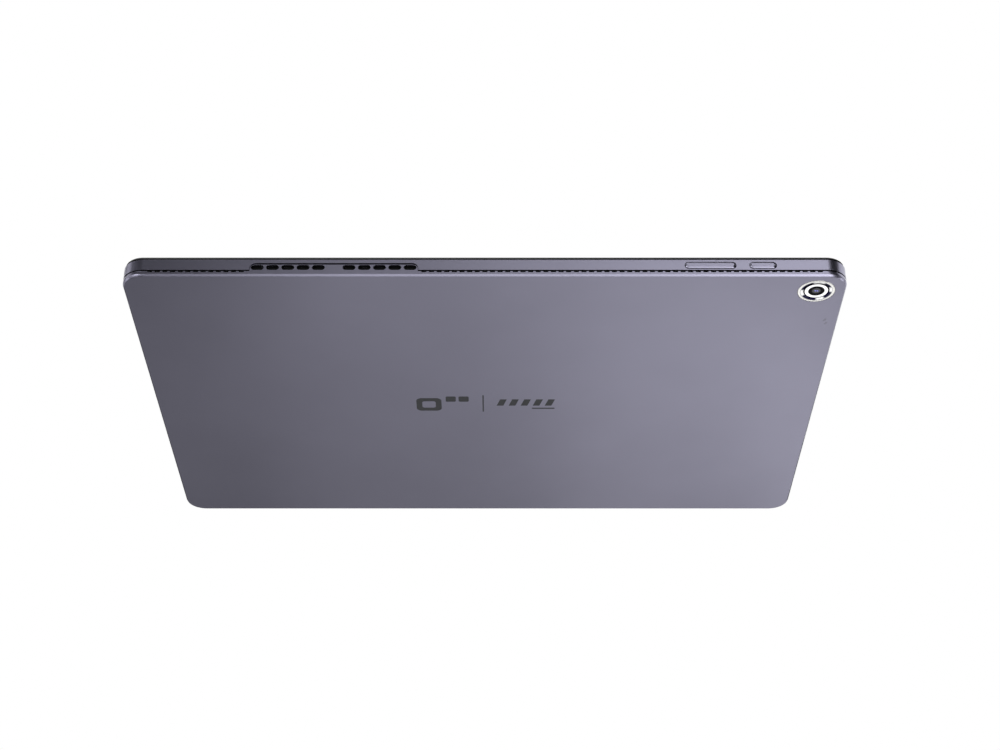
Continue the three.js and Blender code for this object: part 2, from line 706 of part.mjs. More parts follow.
// Sheet-metal lid of a shielded circuit.
function shield({ name, left, right, front, back }) {
  const outline = roundedRect(right - left, back - front, 1, (left + right) / 2, (front + back) / 2);
  return piece(name, alongZ(outline, SHIELD_BOTTOM, BOARD.bottom, 3), FINISH.steel);
}

function boardParts() {
  const plug = DISPLAY_CONNECTOR;
  const connector = block(plug.left, plug.right, plug.front, plug.back, BOARD.top, plug.top);
  const halfCan = MIC_CAN.depth / 2;
  const can = block(MIC_CAN.left, MIC_CAN.right, MIC.y - halfCan, MIC.y + halfCan, BOARD.top, MIC_CAN.top);
  return group(
    piece("main_board", mainBoard(), FINISH.board),
    ...SHIELDS.map(shield),
    piece("display_connector", connector, FINISH.black),
    piece("microphone", can, FINISH.gold),
  );
}

// A small screw standing on its head, which faces the back cover.
function screw(name, x, y, seat, length) {
  const { headRadius, headHeight, shankRadius, driveRadius, driveDepth } = SCREW;
  const end = headHeight + length;
  const geometry = lathe([
    [0, driveDepth],
    [driveRadius, 0],
    [headRadius, 0],
    [headRadius, headHeight],
    [shankRadius, headHeight],
    [shankRadius, end],
    [0, end],
  ], 12);
  const mesh = piece(name, geometry, FINISH.steel);
  mesh.position.set(x, y, seat - headHeight);
  return mesh;
}

function screws() {
  const gap = 0.02;
  const onBoard = BOARD_HOLES.map(([x, y], i) =>
    screw(`board_screw_${i + 1}`, x, y, BOARD.bottom - gap, BOARD_SCREW_LENGTH),
  );
  const onBracket = BRACKET_HOLES.xs.map((x, i) =>
    screw(`bracket_screw_${i + 1}`, x, BRACKET_HOLES.y, BRACKET_FOOT.bottom - gap, BRACKET_SCREW_LENGTH),
  );
  return group(...onBoard, ...onBracket);
}

// ---------------------------------------------------------------- battery, speakers, antenna

function battery() {
  const { width, depth, corner, y, bottom } = CELL;
  const cell = (x) => alongZ(roundedRect(width, depth, corner, x, y), bottom, PLATE_BOTTOM, 4);
  const board = PROTECTION_BOARD;
  const { left, right, front, back } = BATTERY_LEAD;
  const lead = block(left, right, front, back, FLEX_BOTTOM, FLEX_BOTTOM + FLEX_THICKNESS);
  return group(
    piece("battery_cell_left", cell(CELL_XS.left), FINISH.pouch),
    piece("battery_cell_right", cell(CELL_XS.right), FINISH.pouch),
    piece(
      "battery_protection_board",
      block(board.left, board.right, board.front, board.back, BOARD.bottom, BOARD.top),
      FINISH.board,
    ),
    piece("battery_lead", lead, FINISH.flex),
  );
}

// A flat loudspeaker box with its cone facing the cover and its sound outlet in the front face.
function speakerBox(left) {
  const mid = left + SPEAKER.width / 2;
  const right = left + SPEAKER.width;
  const box = roundedRect(SPEAKER.width, SPEAKER.depth, SPEAKER.corner, mid, SPEAKER.y);
  const cone = roundedRect(SPEAKER_CONE.width, SPEAKER_CONE.depth, SPEAKER_CONE.corner, mid, SPEAKER_CONE.y);
  const { margin, front, back, bottom, top } = SPEAKER_OUTLET;
  return cut(
    alongZ(box, SPEAKER.bottom, SPEAKER.top, 4),
    alongZ(cone, 0, SPEAKER_CONE.top, 5),
    block(left + margin, right - margin, front, back, bottom, top),
  );
}

// Fine cloth that keeps dust out of a group of slots.
function speakerMesh(left) {
  const { margin, front, back, bottom, top } = SPEAKER_MESH;
  return block(left + margin, left + SPEAKER.width - margin, front, back, bottom, top);
}

function speakers() {
  const { left, right } = SPEAKER_LEFTS;
  return group(
    piece("speaker_left", speakerBox(left), FINISH.black),
    piece("speaker_right", speakerBox(right), FINISH.black),
    piece("speaker_mesh_left", speakerMesh(left), FINISH.foam),
    piece("speaker_mesh_right", speakerMesh(right), FINISH.foam),
  );
}

function antenna() {
  const { left, right, front, back, bottom, top } = ANTENNA;
  const height = (bottom + top) / 2;
  const at = (x, y, z = height) => new THREE.Vector3(x, y, z);
  // Round the far side of the battery and down beside it to the main board.
  const route = new THREE.CatmullRomCurve3([
    at(right + 0.5, 66),
    at(-90, 68),
    at(0, 68),
    at(50, 64),
    at(56, 30),
    at(BOARD.left + 2.5, 20, height + 0.05),
  ]);
  const sweep = { steps: 40, extrudePath: route, curveSegments: 8 };
  const lead = new THREE.ExtrudeGeometry(circle(LEAD_RADIUS), sweep);
  return group(
    piece("wifi_antenna", block(left, right, front, back, bottom, top), FINISH.flex),
    piece("antenna_lead", lead, FINISH.black),
  );
}

// ---------------------------------------------------------------- whole tablet

const tablet = group(
  caseParts(),
  display(),
  rearCamera(),
  frontCamera(),
  keys(),
  usbPort(),
  headphoneJack(),
  cardReader(),
  boardParts(),
  screws(),
  battery(),
  speakers(),
  antenna(),
);
// The keys stand proud on one edge only, so the middle of the overall box is half of that further back.
tablet.position.y = KEY_PROUD / 2;

export default tablet;
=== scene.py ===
"""The looks of the tablet computer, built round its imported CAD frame.

Metres, Z up, the back of the tablet on Z = 0. The shells, keys, camera and ports that show get a
finely rounded mesh of their own, in the place and size of the CAD node that they stand for. The
pieces inside keep their CAD mesh. Every surface is procedural.
"""
import json
import math

import bmesh
import bpy
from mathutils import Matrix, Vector


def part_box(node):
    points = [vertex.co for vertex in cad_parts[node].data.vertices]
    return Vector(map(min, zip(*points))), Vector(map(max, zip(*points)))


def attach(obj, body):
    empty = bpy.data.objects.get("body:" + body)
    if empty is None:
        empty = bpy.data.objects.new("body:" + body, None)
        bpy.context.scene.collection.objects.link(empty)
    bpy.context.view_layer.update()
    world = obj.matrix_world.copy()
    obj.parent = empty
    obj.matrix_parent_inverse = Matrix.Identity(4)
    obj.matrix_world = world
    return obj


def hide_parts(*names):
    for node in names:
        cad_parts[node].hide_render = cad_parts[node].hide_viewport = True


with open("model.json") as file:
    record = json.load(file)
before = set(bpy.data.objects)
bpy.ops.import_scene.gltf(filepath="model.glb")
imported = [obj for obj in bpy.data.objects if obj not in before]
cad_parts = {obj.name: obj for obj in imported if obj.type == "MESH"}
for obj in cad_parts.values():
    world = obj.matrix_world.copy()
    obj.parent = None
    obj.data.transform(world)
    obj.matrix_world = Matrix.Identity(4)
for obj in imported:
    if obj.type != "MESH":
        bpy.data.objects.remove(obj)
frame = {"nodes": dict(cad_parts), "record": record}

MM = 0.001
scene = bpy.context.scene
nodes = frame["nodes"]
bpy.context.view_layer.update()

# ------------------------------------------------------------ sizes, from the frame or set here

cover_low, cover_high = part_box("back_cover")
_, frame_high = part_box("side_frame")
glass_low, glass_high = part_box("cover_glass")
trim_low, trim_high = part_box("rear_camera_trim")
usb_low, usb_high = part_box("usb_port_shell")
jack_low, jack_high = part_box("headphone_jack")
tray_low, tray_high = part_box("card_tray")

HALF_X = (cover_high.x - cover_low.x) / 2
HALF_Y = (cover_high.y - cover_low.y) / 2
CENTRE_Y = (cover_high.y + cover_low.y) / 2
FRONT_Y = cover_low.y
SIDE_X = cover_high.x
CORNER = 7.5 * MM
CORNER_STEPS = 28
# How far a cut goes past a wall, and how far joined solids reach into each other.
CUT_PAST, OVERLAP = 0.2 * MM, 0.1 * MM

COVER_FLOOR = 0.8 * MM
COVER_WALL = 1.0 * MM
COVER_CHAMFER = (0.5 * MM, 0.75 * MM)
COVER_FILLET = 0.3 * MM
CAMERA_HOLE_GAP = 0.06 * MM
EDGE_ROUND = 0.06 * MM
RIM_TOP = 1.95 * MM
FRAME_BOTTOM = 2.45 * MM
LIP_BOTTOM = 1.0 * MM
LIP_INSET = 1.15 * MM
FRAME_WALL = 2.3 * MM
FRAME_CHAMFER = 0.3 * MM
FRAME_TOP = frame_high.z
GLASS_INSET = HALF_X - glass_high.x
GLASS_ROUND, GLASS_STEPS = 0.3 * MM, 8
GLASS_BEVEL = 0.1 * MM
SCREEN_HALF_X, SCREEN_HALF_Y, SCREEN_EDGE = 108.5 * MM, 67.8 * MM, 0.15 * MM
MID_HEIGHT = 4.38 * MM

TAB_LEFT, TAB_RIGHT, TAB_TOP = -79.3 * MM, -22.55 * MM, cover_high.z
TAB_CORNER = 1.7 * MM
TAB_GAP_SIDE, TAB_GAP_TOP, TAB_GAP_CORNER = 0.12 * MM, 0.6 * MM, 0.4 * MM
SLOT_LENGTH, SLOT_HEIGHT, SLOT_Z, SLOT_PITCH = 4.3 * MM, 2.0 * MM, 3.42 * MM, 5.15 * MM
SLOT_DEPTH = COVER_WALL + 0.3 * MM
SLOT_STARTS = (-76.75 * MM, -45.8 * MM)
SLOTS_PER_GROUP = 5
NOTCH_WIDTH, NOTCH_DEPTH, NOTCH_PITCH = 1.7 * MM, 0.45 * MM, 2.57 * MM
NOTCH_REACH = 0.5 * MM
NOTCH_ROWS = ((-112.9 * MM, 13), (-20.5 * MM, 53))

CAMERA_X, CAMERA_Y = (trim_low.x + trim_high.x) / 2, (trim_low.y + trim_high.y) / 2
TRIM_OUTER, TRIM_FACE = 6.375 * MM, 5.4 * MM
# Radii where painted shade starts: near black inside the trim and over the white ring's rims, grey
# along its groove.
TRIM_GAP_SHADE, RING_OUTER_RIM_SHADE = (4.42 * MM, 4.5 * MM), (3.92 * MM, 3.98 * MM)
RING_GROOVE, RING_INNER_RIM_SHADE = 3.35 * MM, (2.78 * MM, 2.84 * MM)
LENS_BARREL = (1.35 * MM, 1.55 * MM)
# Painted highlights on the lens: two blue glints, their centres from its middle and the radii they
# fade over.
PAINTED_GLINTS, PAINTED_GLINT_FADE = ((-0.35 * MM, 0.0), (0.4 * MM, 0.08 * MM)), (0.1 * MM, 0.38 * MM)

KEY_HEIGHT, KEY_GAP = 2.5 * MM, 0.2 * MM
KEY_CHAMFER = (0.6 * MM, 0.36 * MM)
KEY_DROP = 0.12 * MM
KEYS = {"volume_rocker": 17.1 * MM, "power_button": 8.9 * MM}
FLANGE_BACK = {"volume_rocker": -81.67 * MM, "power_button": -81.9 * MM}
FLANGE_THICKNESS, FLANGE_HEIGHT = 0.3 * MM, 3.3 * MM
NIBS = {"volume_rocker": (-6 * MM, 6 * MM), "power_button": (0,)}
NIB_HALF_WIDTH, NIB_HALF_HEIGHT = 0.8 * MM, 0.6 * MM

SPEAKER_LEFTS, SPEAKER_WIDTH = (-80 * MM, -49 * MM), 27 * MM
SOUND_WINDOW = (2.6 * MM, 4.3 * MM)

TRAY_FACE = (14 * MM, 2.4 * MM)
TRAY_FACE_DEPTH = 1.0 * MM
TRAY_GAP = 0.15 * MM
TRAY_SLOT_HALF, TRAY_SLOT_BOTTOM, TRAY_SLOT_TOP = 6.15 * MM, 2.95 * MM, 4.25 * MM
TRAY_PLATE_HALF, TRAY_PLATE_BOTTOM, TRAY_PLATE_TOP = 6 * MM, 3.1 * MM, 4.1 * MM
# Margins at the inner and the outer end, half width, and bottom.
TRAY_POCKET = (0.8 * MM, 3.2 * MM, 5.2 * MM, TRAY_PLATE_BOTTOM + 0.35 * MM)
TRAY_WINDOW = (1.8 * MM, 5 * MM, 4.2 * MM, MM)
TRAY_CUT_TOP = 6 * MM
USB_HOLE_GAP = 0.13 * MM
JACK_RADIUS = 1.75 * MM
MIC_Y, MIC_Z, MIC_RADIUS = 16.15 * MM, 3.9 * MM, 0.5 * MM
EJECT_Y, EJECT_Z, EJECT_RADIUS = -42.25 * MM, 4.55 * MM, 0.45 * MM

FILM = 0.01 * MM
# Prints on the back: half length, half width and corner radius, then the centre.
MARK_OUTER, MARK_INNER = (4.7 * MM, 4.6 * MM, 2.0 * MM), (2.5 * MM, 2.3 * MM, 0.9 * MM)
MARK_CENTRE = (-21.4 * MM, 0.3 * MM)
TILE = (1.9 * MM, 1.9 * MM, 0.6 * MM)
TILE_CENTRES = ((-13.2 * MM, -3.6 * MM), (-8.4 * MM, -3.6 * MM))
RULE, RULE_CENTRE = (0.25 * MM, 6.0 * MM, 0.2 * MM), (-1.14 * MM, -0.4 * MM)
UNDERLINE, UNDERLINE_CENTRE = (4.3 * MM, 0.45 * MM, 0.4 * MM), (21.4 * MM, 3.1 * MM)
# Slanted bars: front, width, depth and slant, and the left ends in millimetres.
BAR, BAR_STARTS = (-3.4 * MM, 2.5 * MM, 4.6 * MM, 1.3 * MM), (3.9, 8.4, 12.9, 17.4, 21.9)
# The symbol near the camera: its middle, from there to a bar's corner, and a bar's sizes.
FLASH_MARK, FLASH_CORNER = (118.7 * MM, FRONT_Y + 28.1 * MM), (0.7 * MM, 0.8 * MM)
FLASH_BAR, FLASH_LEAN = (0.9 * MM, 1.6 * MM, 0.4 * MM), 0.35

# ------------------------------------------------------------ mesh building


def link(bm, name):
    mesh = bpy.data.meshes.new(name)
    bm.to_mesh(mesh)
    bm.free()
    piece = bpy.data.objects.new(name, mesh)
    scene.collection.objects.link(piece)
    return piece


def arc(centre, radius, start, end, steps):
    """Points on an arc from start to end degrees, both ends included."""
    for i in range(steps + 1):
        angle = math.radians(start + (end - start) * i / steps)
        yield centre[0] + radius * math.cos(angle), centre[1] + radius * math.sin(angle)


def rounded_outline(half_x, half_y, radius, steps=CORNER_STEPS, centre=(0, 0)):
    x, y = half_x - radius, half_y - radius
    corners = ((x, -y, -90), (x, y, 0), (-x, y, 90), (-x, -y, 180))
    points = []
    for corner_x, corner_y, start in corners:
        middle = (centre[0] + corner_x, centre[1] + corner_y)
        points += arc(middle, radius, start, start + 90, steps)
    return points


def pill_outline(length, height, steps=16, centre=(0, 0)):
    x, radius = (length - height) / 2, height / 2
    right = list(arc((centre[0] + x, centre[1]), radius, -90, 90, steps))
    left = list(arc((centre[0] - x, centre[1]), radius, 90, 270, steps))
    return right + left


def circle_outline(radius, steps=64, centre=(0, 0)):
    return list(arc(centre, radius, 0, 360, steps))[:-1]


def on_z(outline, z):
    return [Vector((x, y, z)) for x, y in outline]


def on_y(outline, y):
    """An outline drawn as X and Z, placed at a Y."""
    return [Vector((x, y, z)) for x, z in outline]


def on_x(outline, x):
    """An outline drawn as Y and Z, placed at an X."""
    return [Vector((x, y, z)) for y, z in outline]


def case_ring(inset, z):
    outline = rounded_outline(HALF_X - inset, HALF_Y - inset, CORNER - inset, centre=(0, CENTRE_Y))
    return on_z(outline, z)


def loft(name, rings, closed=False):
    """A skin over outlines of equal length. A closed one joins its ends; others are capped."""
    bm = bmesh.new()
    rows = [[bm.verts.new(point) for point in ring] for ring in rings]
    count = len(rows[0])
    pairs = list(zip(rows, rows[1:]))
    if closed:
        pairs.append((rows[-1], rows[0]))
    for low, high in pairs:
        for i in range(count):
            j = (i + 1) % count
            bm.faces.new((low[i], low[j], high[j], high[i]))
    if not closed:
        bm.faces.new(rows[0])
        bm.faces.new(rows[-1])
    bmesh.ops.recalc_face_normals(bm, faces=bm.faces)
    return link(bm, name)


def lathe(name, profile, centre, steps=96):
    """A closed profile of radius and height, turned about the upright line through centre."""
    rings = []
    for radius, z in profile:
        outline = circle_outline(radius, steps, centre)
        rings.append(on_z(outline, z))
    return loft(name, rings, closed=True)


def box(name, low, high):
    corners = [(low[0], low[1]), (high[0], low[1]), (high[0], high[1]), (low[0], high[1])]
    return loft(name, [on_z(corners, low[2]), on_z(corners, high[2])])


def joined(name, pieces):
    """One object that holds the meshes of several."""
    bm = bmesh.new()
    for piece in pieces:
        bm.from_mesh(piece.data)
        bpy.data.objects.remove(piece)
    return link(bm, name)


def dress(piece, material_name):
    piece.data.materials.clear()
    piece.data.materials.append(materials[material_name])
    return piece


def keep_modifiers(piece):
    """Turns the modifiers of a piece into plain mesh."""
    graph = bpy.context.evaluated_depsgraph_get()
    mesh = bpy.data.meshes.new_from_object(piece.evaluated_get(graph))
    piece.modifiers.clear()
    piece.data = mesh


def carve(piece, *tools, operation="DIFFERENCE", liner=None):
    """Cuts tools out of a dressed piece, or adds them. A liner is the material of the cut walls."""
    for tool in tools:
        tool.data.materials.clear()
        tool.data.materials.append(materials[liner] if liner else piece.data.materials[0])
        modifier = piece.modifiers.new("carve", "BOOLEAN")
        modifier.operation = operation
        modifier.solver = "EXACT"
        modifier.material_mode = "TRANSFER"
        modifier.object = tool
    bpy.context.view_layer.update()
    keep_modifiers(piece)
    for tool in tools:
        bpy.data.objects.remove(tool)
    return piece


def soften(piece, width=0.05 * MM, segments=2, angle=28):
    """Rounds the sharp edges a little, and keeps the shading of flat faces flat."""
    mesh = piece.data
    mesh.shade_smooth()
    bevel = piece.modifiers.new("edges", "BEVEL")
    bevel.width = width
    bevel.segments = segments
    bevel.limit_method = "ANGLE"
    bevel.angle_limit = math.radians(angle)
    bevel.use_clamp_overlap = True
    weights = piece.modifiers.new("shading", "WEIGHTED_NORMAL")
    weights.keep_sharp = True
    return piece


def smooth(piece, angle=30):
    piece.data.shade_smooth()
    piece.data.set_sharp_from_angle(angle=math.radians(angle))
    return piece


# ------------------------------------------------------------ materials


class Surface:
    """A Principled material and short ways to add procedural detail to it."""

    def __init__(self, name, **sockets):
        self.material = bpy.data.materials.new(name)
        self.material.use_nodes = True
        self.tree = self.material.node_tree
        self.shader = self.tree.nodes["Principled BSDF"]
        for socket, value in sockets.items():
            self.shader.inputs[socket.replace("_", " ")].default_value = value
        self.place = self.add("ShaderNodeTexCoord").outputs["Object"]

    def add(self, kind, **settings):
        node = self.tree.nodes.new(kind)
        for key, value in settings.items():
            setattr(node, key, value)
        return node

    def link(self, source, target):
        self.tree.links.new(source, target)

    def noise(self, size, detail=2.0, stretch=None):
        """Noise of about this feature size. stretch multiplies the scale along each axis."""
        node = self.add("ShaderNodeTexNoise")
        node.inputs["Scale"].default_value = 1 / size
        node.inputs["Detail"].default_value = detail
        place = self.place
        if stretch:
            mapping = self.add("ShaderNodeMapping")
            mapping.inputs["Scale"].default_value = stretch
            self.link(self.place, mapping.inputs["Vector"])
            place = mapping.outputs["Vector"]
        self.link(place, node.inputs["Vector"])
        return node.outputs["Fac"]

    def ramp(self, source, *stops):
        node = self.add("ShaderNodeValToRGB")
        elements = node.color_ramp.elements
        while len(elements) < len(stops):
            elements.new(0.5)
        for element, (position, colour) in zip(elements, stops):
            element.position = position
            element.color = (*colour, 1)
        self.link(source, node.inputs["Fac"])
        return node.outputs["Color"]

    def span(self, source, low, high, from_low=0.3, from_high=0.7):
        node = self.add("ShaderNodeMapRange")
        node.inputs["From Min"].default_value = from_low
        node.inputs["From Max"].default_value = from_high
        node.inputs["To Min"].default_value = low
        node.inputs["To Max"].default_value = high
        self.link(source, node.inputs["Value"])
        return node.outputs["Result"]

    def math(self, operation, first, second=None, clamp=False):
        node = self.add("ShaderNodeMath", operation=operation, use_clamp=clamp)
        for i, value in enumerate((first, second)):
            if value is None:
                continue
            if isinstance(value, (int, float)):
                node.inputs[i].default_value = value
            else:
                self.link(value, node.inputs[i])
        return node.outputs["Value"]

    def mix(self, factor, first, second):
        node = self.add("ShaderNodeMix", data_type="RGBA")
        self.link(factor, node.inputs[0])
        for socket, value in ((node.inputs[6], first), (node.inputs[7], second)):
            if isinstance(value, tuple):
                socket.default_value = (*value, 1)
            else:
                self.link(value, socket)
        return node.outputs[2]

    def colour(self, source):
        self.link(source, self.shader.inputs["Base Color"])

    def rough(self, source, low, high):
        self.link(self.span(source, low, high), self.shader.inputs["Roughness"])

    def bump(self, source, strength, distance=0.01 * MM):
        node = self.add("ShaderNodeBump")
        node.inputs["Strength"].default_value = strength
        node.inputs["Distance"].default_value = distance
        self.link(source, node.inputs["Height"])
        self.link(node.outputs["Normal"], self.shader.inputs["Normal"])

    def axes(self):
        node = self.add("ShaderNodeSeparateXYZ")
        self.link(self.place, node.inputs[0])
        return node.outputs


def scaled(colour, factor):
    return tuple(channel * factor for channel in colour)


def mottled(name, colour, roughness, metallic, variation, patch, grain, relief, specular=0.5):
    """A surface whose colour drifts over patches and whose finish has a fine grain."""
    surface = Surface(name, Metallic=metallic, Specular_IOR_Level=specular)
    drift = surface.noise(patch * MM, 3)
    low, high = scaled(colour, 1 - variation), scaled(colour, 1 + variation)
    surface.colour(surface.ramp(drift, (0.3, low), (0.7, high)))
    fine = surface.noise(grain * MM, 2)
    surface.rough(fine, roughness - 0.05, roughness + 0.05)
    surface.bump(fine, relief)
    return surface.material


def paint_material():
    """Bead-blasted metal under a satin slate lavender coat, with tiny metal flakes in it."""
    base = (0.28, 0.273, 0.355)
    surface = Surface("slate_satin_metal", Metallic=1.0)
    patches = surface.noise(40 * MM, 2)
    flakes = surface.noise(0.12 * MM, 1)
    tone = surface.ramp(patches, (0.35, scaled(base, 0.98)), (0.65, scaled(base, 1.02)))
    sparkle = surface.span(flakes, 0.0, 0.06, 0.55, 0.8)
    surface.colour(surface.mix(sparkle, tone, (0.8, 0.8, 0.9)))
    blast = surface.noise(0.3 * MM, 3)
    surface.rough(blast, 0.28, 0.34)
    surface.bump(blast, 0.04, 0.002 * MM)
    return surface.material


def glass_material():
    """Black-backed cover glass: a deep black border round a slightly lighter, mottled panel."""
    surface = Surface("cover_glass_black", IOR=1.52, Coat_Weight=1.0, Coat_Roughness=0.03)
    x, y, _ = surface.axes()
    shifted = surface.math("SUBTRACT", y, CENTRE_Y)
    sides = []
    for value, half in ((x, SCREEN_HALF_X), (shifted, SCREEN_HALF_Y)):
        off_centre = surface.math("ABSOLUTE", value)
        sides.append(surface.span(off_centre, 1, 0, half - SCREEN_EDGE, half + SCREEN_EDGE))
    panel = surface.math("MULTIPLY", *sides)
    grid = surface.noise(0.4 * MM, 1)
    panel_tone = surface.ramp(grid, (0.3, (0.010, 0.011, 0.014)), (0.7, (0.014, 0.015, 0.019)))
    surface.colour(surface.mix(panel, (0.002, 0.002, 0.0025), panel_tone))
    smudge = surface.noise(30 * MM, 4)
    surface.rough(smudge, 0.03, 0.09)
    return surface.material


def brushed(name, colour, roughness, stretch=(1, 12, 12)):
    surface = Surface(name, Metallic=1.0)
    lines = surface.noise(1.2 * MM, 4, stretch)
    surface.colour(surface.ramp(lines, (0.3, scaled(colour, 0.88)), (0.7, scaled(colour, 1.06))))
    surface.rough(lines, roughness - 0.06, roughness + 0.08)
    surface.bump(lines, 0.2, 0.005 * MM)
    return surface.material


def board_material():
    """Dark green-blue solder mask with copper tracks just under it and bare pads."""
    surface = Surface("solder_mask", Roughness=0.45, Coat_Weight=0.3)
    cells = surface.add("ShaderNodeTexVoronoi", feature="DISTANCE_TO_EDGE")
    cells.inputs["Scale"].default_value = 1 / (3.5 * MM)
    surface.link(surface.place, cells.inputs["Vector"])
    tracks = surface.span(cells.outputs["Distance"], 1, 0, 0.03, 0.08)
    masked = surface.mix(tracks, (0.006, 0.045, 0.05), (0.02, 0.10, 0.09))
    dots = surface.noise(0.9 * MM, 0)
    pads = surface.span(dots, 0, 1, 0.72, 0.76)
    surface.colour(surface.mix(pads, masked, (0.75, 0.55, 0.25)))
    surface.bump(tracks, 0.4, 0.02 * MM)
    return surface.material


def flex_material():
    surface = Surface("amber_flex_film", Roughness=0.35, Coat_Weight=0.4)
    tracks = surface.noise(0.8 * MM, 1, (0.15, 4, 1))
    surface.colour(surface.ramp(tracks, (0.42, (0.30, 0.13, 0.025)), (0.58, (0.16, 0.06, 0.012))))
    surface.bump(tracks, 0.3, 0.02 * MM)
    return surface.material


def mesh_material():
    """Black acoustic cloth: threads over and under at a fifth of a millimetre."""
    surface = Surface("acoustic_cloth", Roughness=0.9, Specular_IOR_Level=0.1)
    x, _, z = surface.axes()
    turns = math.tau / (0.35 * MM)
    waves = [surface.math("SINE", surface.math("MULTIPLY", axis, turns)) for axis in (x, z)]
    weave = surface.math("MULTIPLY", *waves)
    thread = surface.span(weave, 0, 1, -1, 1)
    surface.colour(surface.ramp(thread, (0.3, (0.001, 0.001, 0.001)), (0.8, (0.008, 0.008, 0.008))))
    surface.bump(weave, 0.6, 0.05 * MM)
    return surface.material


# Slot, then the material's name, colour, roughness, metal, drift in tone, size of the patches and
# of the grain in millimetres, depth of the grain and, where it isn't the usual one, specular level.
MOTTLED = {
    "black_foam": ("black_foam", (0.018, 0.018, 0.02), 0.9, 0, 0.3, 0.5, 0.1, 0.6),
    "display_panel": ("panel_glass", (0.012, 0.013, 0.017), 0.15, 0, 0.2, 0.4, 0.2, 0.02),
    "white_sheet": ("diffuser_film", (0.82, 0.82, 0.84), 0.55, 0, 0.03, 4, 0.1, 0.1),
    "clear_plastic": ("light_guide_acrylic", (0.7, 0.76, 0.78), 0.12, 0, 0.04, 5, 0.5, 0.2),
    "polished_metal": ("polished_rim", (0.93, 0.92, 0.89), 0.1, 1, 0.02, 2, 0.1, 0.02),
    "white_plastic": ("camera_white", (0.86, 0.86, 0.84), 0.22, 0, 0.02, 2, 0.2, 0.02),
    "lens_glass": ("lens_black", (0.004, 0.004, 0.006), 0.08, 0, 0.3, 1, 0.1, 0.01),
    "black_plastic": ("moulded_black", (0.016, 0.016, 0.018), 0.5, 0, 0.2, 3, 0.12, 0.35),
    # The near-black look below is painted shade: it lines slot and notch walls, the frame over the
    # seam, the lip behind the tab and the key flanks.
    "seam_gasket": ("seam_gasket", (0.003, 0.003, 0.0035), 0.85, 0, 0.3, 1, 0.1, 0.3, 0.08),
    "battery_pouch": ("foil_pouch", (0.07, 0.075, 0.085), 0.42, 0.6, 0.2, 9, 0.6, 0.5),
    "print_ink": ("print_ink", (0.022, 0.023, 0.026), 0.6, 0, 0.1, 3, 0.1, 0.1),
    "faint_ink": ("faint_ink", (0.15, 0.145, 0.185), 0.6, 0, 0.1, 3, 0.1, 0.1),
}


def make_materials():
    made = {slot: mottled(*look) for slot, look in MOTTLED.items()}
    made["painted_metal"] = paint_material()
    made["cover_glass"] = glass_material()
    made["bare_steel"] = brushed("bare_steel", (0.55, 0.56, 0.58), 0.32)
    made["gold_contact"] = brushed("gold_contact", (0.85, 0.62, 0.28), 0.25)
    made["flex_circuit"] = flex_material()
    made["circuit_board"] = board_material()
    made["speaker_cloth"] = mesh_material()
    return made


materials = make_materials()


def place(piece, material_name, body="case", stands_for=(), slot=None):
    """Gives a finished piece its surface if it has none, puts it in its body and hides the CAD
    nodes that it stands for.
    """
    if not piece.data.materials:
        dress(piece, material_name)
    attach(piece, body)
    if stands_for:
        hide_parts(*stands_for)
    return piece


# ------------------------------------------------------------ camera, floor and light


# The focal length and sensor in millimetres, the place, and the angle at which it looks up.
CAMERA_LENS, CAMERA_SENSOR, CAMERA_NEAR = 68.53, 36, 10 * MM
CAMERA_PLACE, CAMERA_TILT = (0.005164, FRONT_Y - 0.52846, -0.36358), 31.544
FLOOR_HALF, FLOOR_DROP = 4, 0.02 * MM


def make_camera():
    """The photograph's view: from below the tablet and in front of its key edge, up at its back."""
    data = bpy.data.cameras.new("camera")
    data.lens = CAMERA_LENS
    data.sensor_width = CAMERA_SENSOR
    data.clip_start = CAMERA_NEAR
    camera = bpy.data.objects.new("camera", data)
    camera.location = CAMERA_PLACE
    camera.rotation_euler = (math.radians(90 + CAMERA_TILT), 0, 0)
    scene.collection.objects.link(camera)
    scene.camera = camera


def make_floor():
    """A pale floor that is seen from above only, and throws no shadow on what is lit from below."""
    half = FLOOR_HALF
    corners = [(-half, -half), (half, -half), (half, half), (-half, half)]
    bm = bmesh.new()
    bm.faces.new([bm.verts.new((x, y, -FLOOR_DROP)) for x, y in corners])
    floor = link(bm, "floor")
    surface = Surface("pale_floor", Roughness=0.85)
    cloud = surface.noise(0.4, 2)
    surface.colour(surface.ramp(cloud, (0.3, (0.84, 0.84, 0.85)), (0.7, (0.86, 0.86, 0.87))))
    tree = surface.tree
    output = tree.nodes["Material Output"]
    side = surface.add("ShaderNodeNewGeometry").outputs["Backfacing"]
    clear = surface.add("ShaderNodeBsdfTransparent")
    choice = surface.add("ShaderNodeMixShader")
    surface.link(side, choice.inputs["Fac"])
    surface.link(surface.shader.outputs["BSDF"], choice.inputs[1])
    surface.link(clear.outputs["BSDF"], choice.inputs[2])
    surface.link(choice.outputs["Shader"], output.inputs["Surface"])
    floor.data.materials.append(surface.material)
    floor.visible_shadow = False
    floor.visible_diffuse = False
    floor.visible_glossy = False
    return floor


def softbox(name, azimuth, elevation, size, watts):
    """A square soft light aimed at the tablet.

    Azimuth 0 is in front of the key edge and 90 is beyond the ports.
    """
    data = bpy.data.lights.new(name, "AREA")
    data.size = size
    data.energy = watts
    light = bpy.data.objects.new(name, data)
    turn, tilt = math.radians(azimuth), math.radians(elevation)
    level = math.cos(tilt)
    away = Vector((math.sin(turn) * level, -math.cos(turn) * level, math.sin(tilt)))
    light.location = away * SOFTBOX_DISTANCE
    light.rotation_euler = away.to_track_quat("Z", "Y").to_euler()
    light.visible_camera = False
    scene.collection.objects.link(light)
    return light


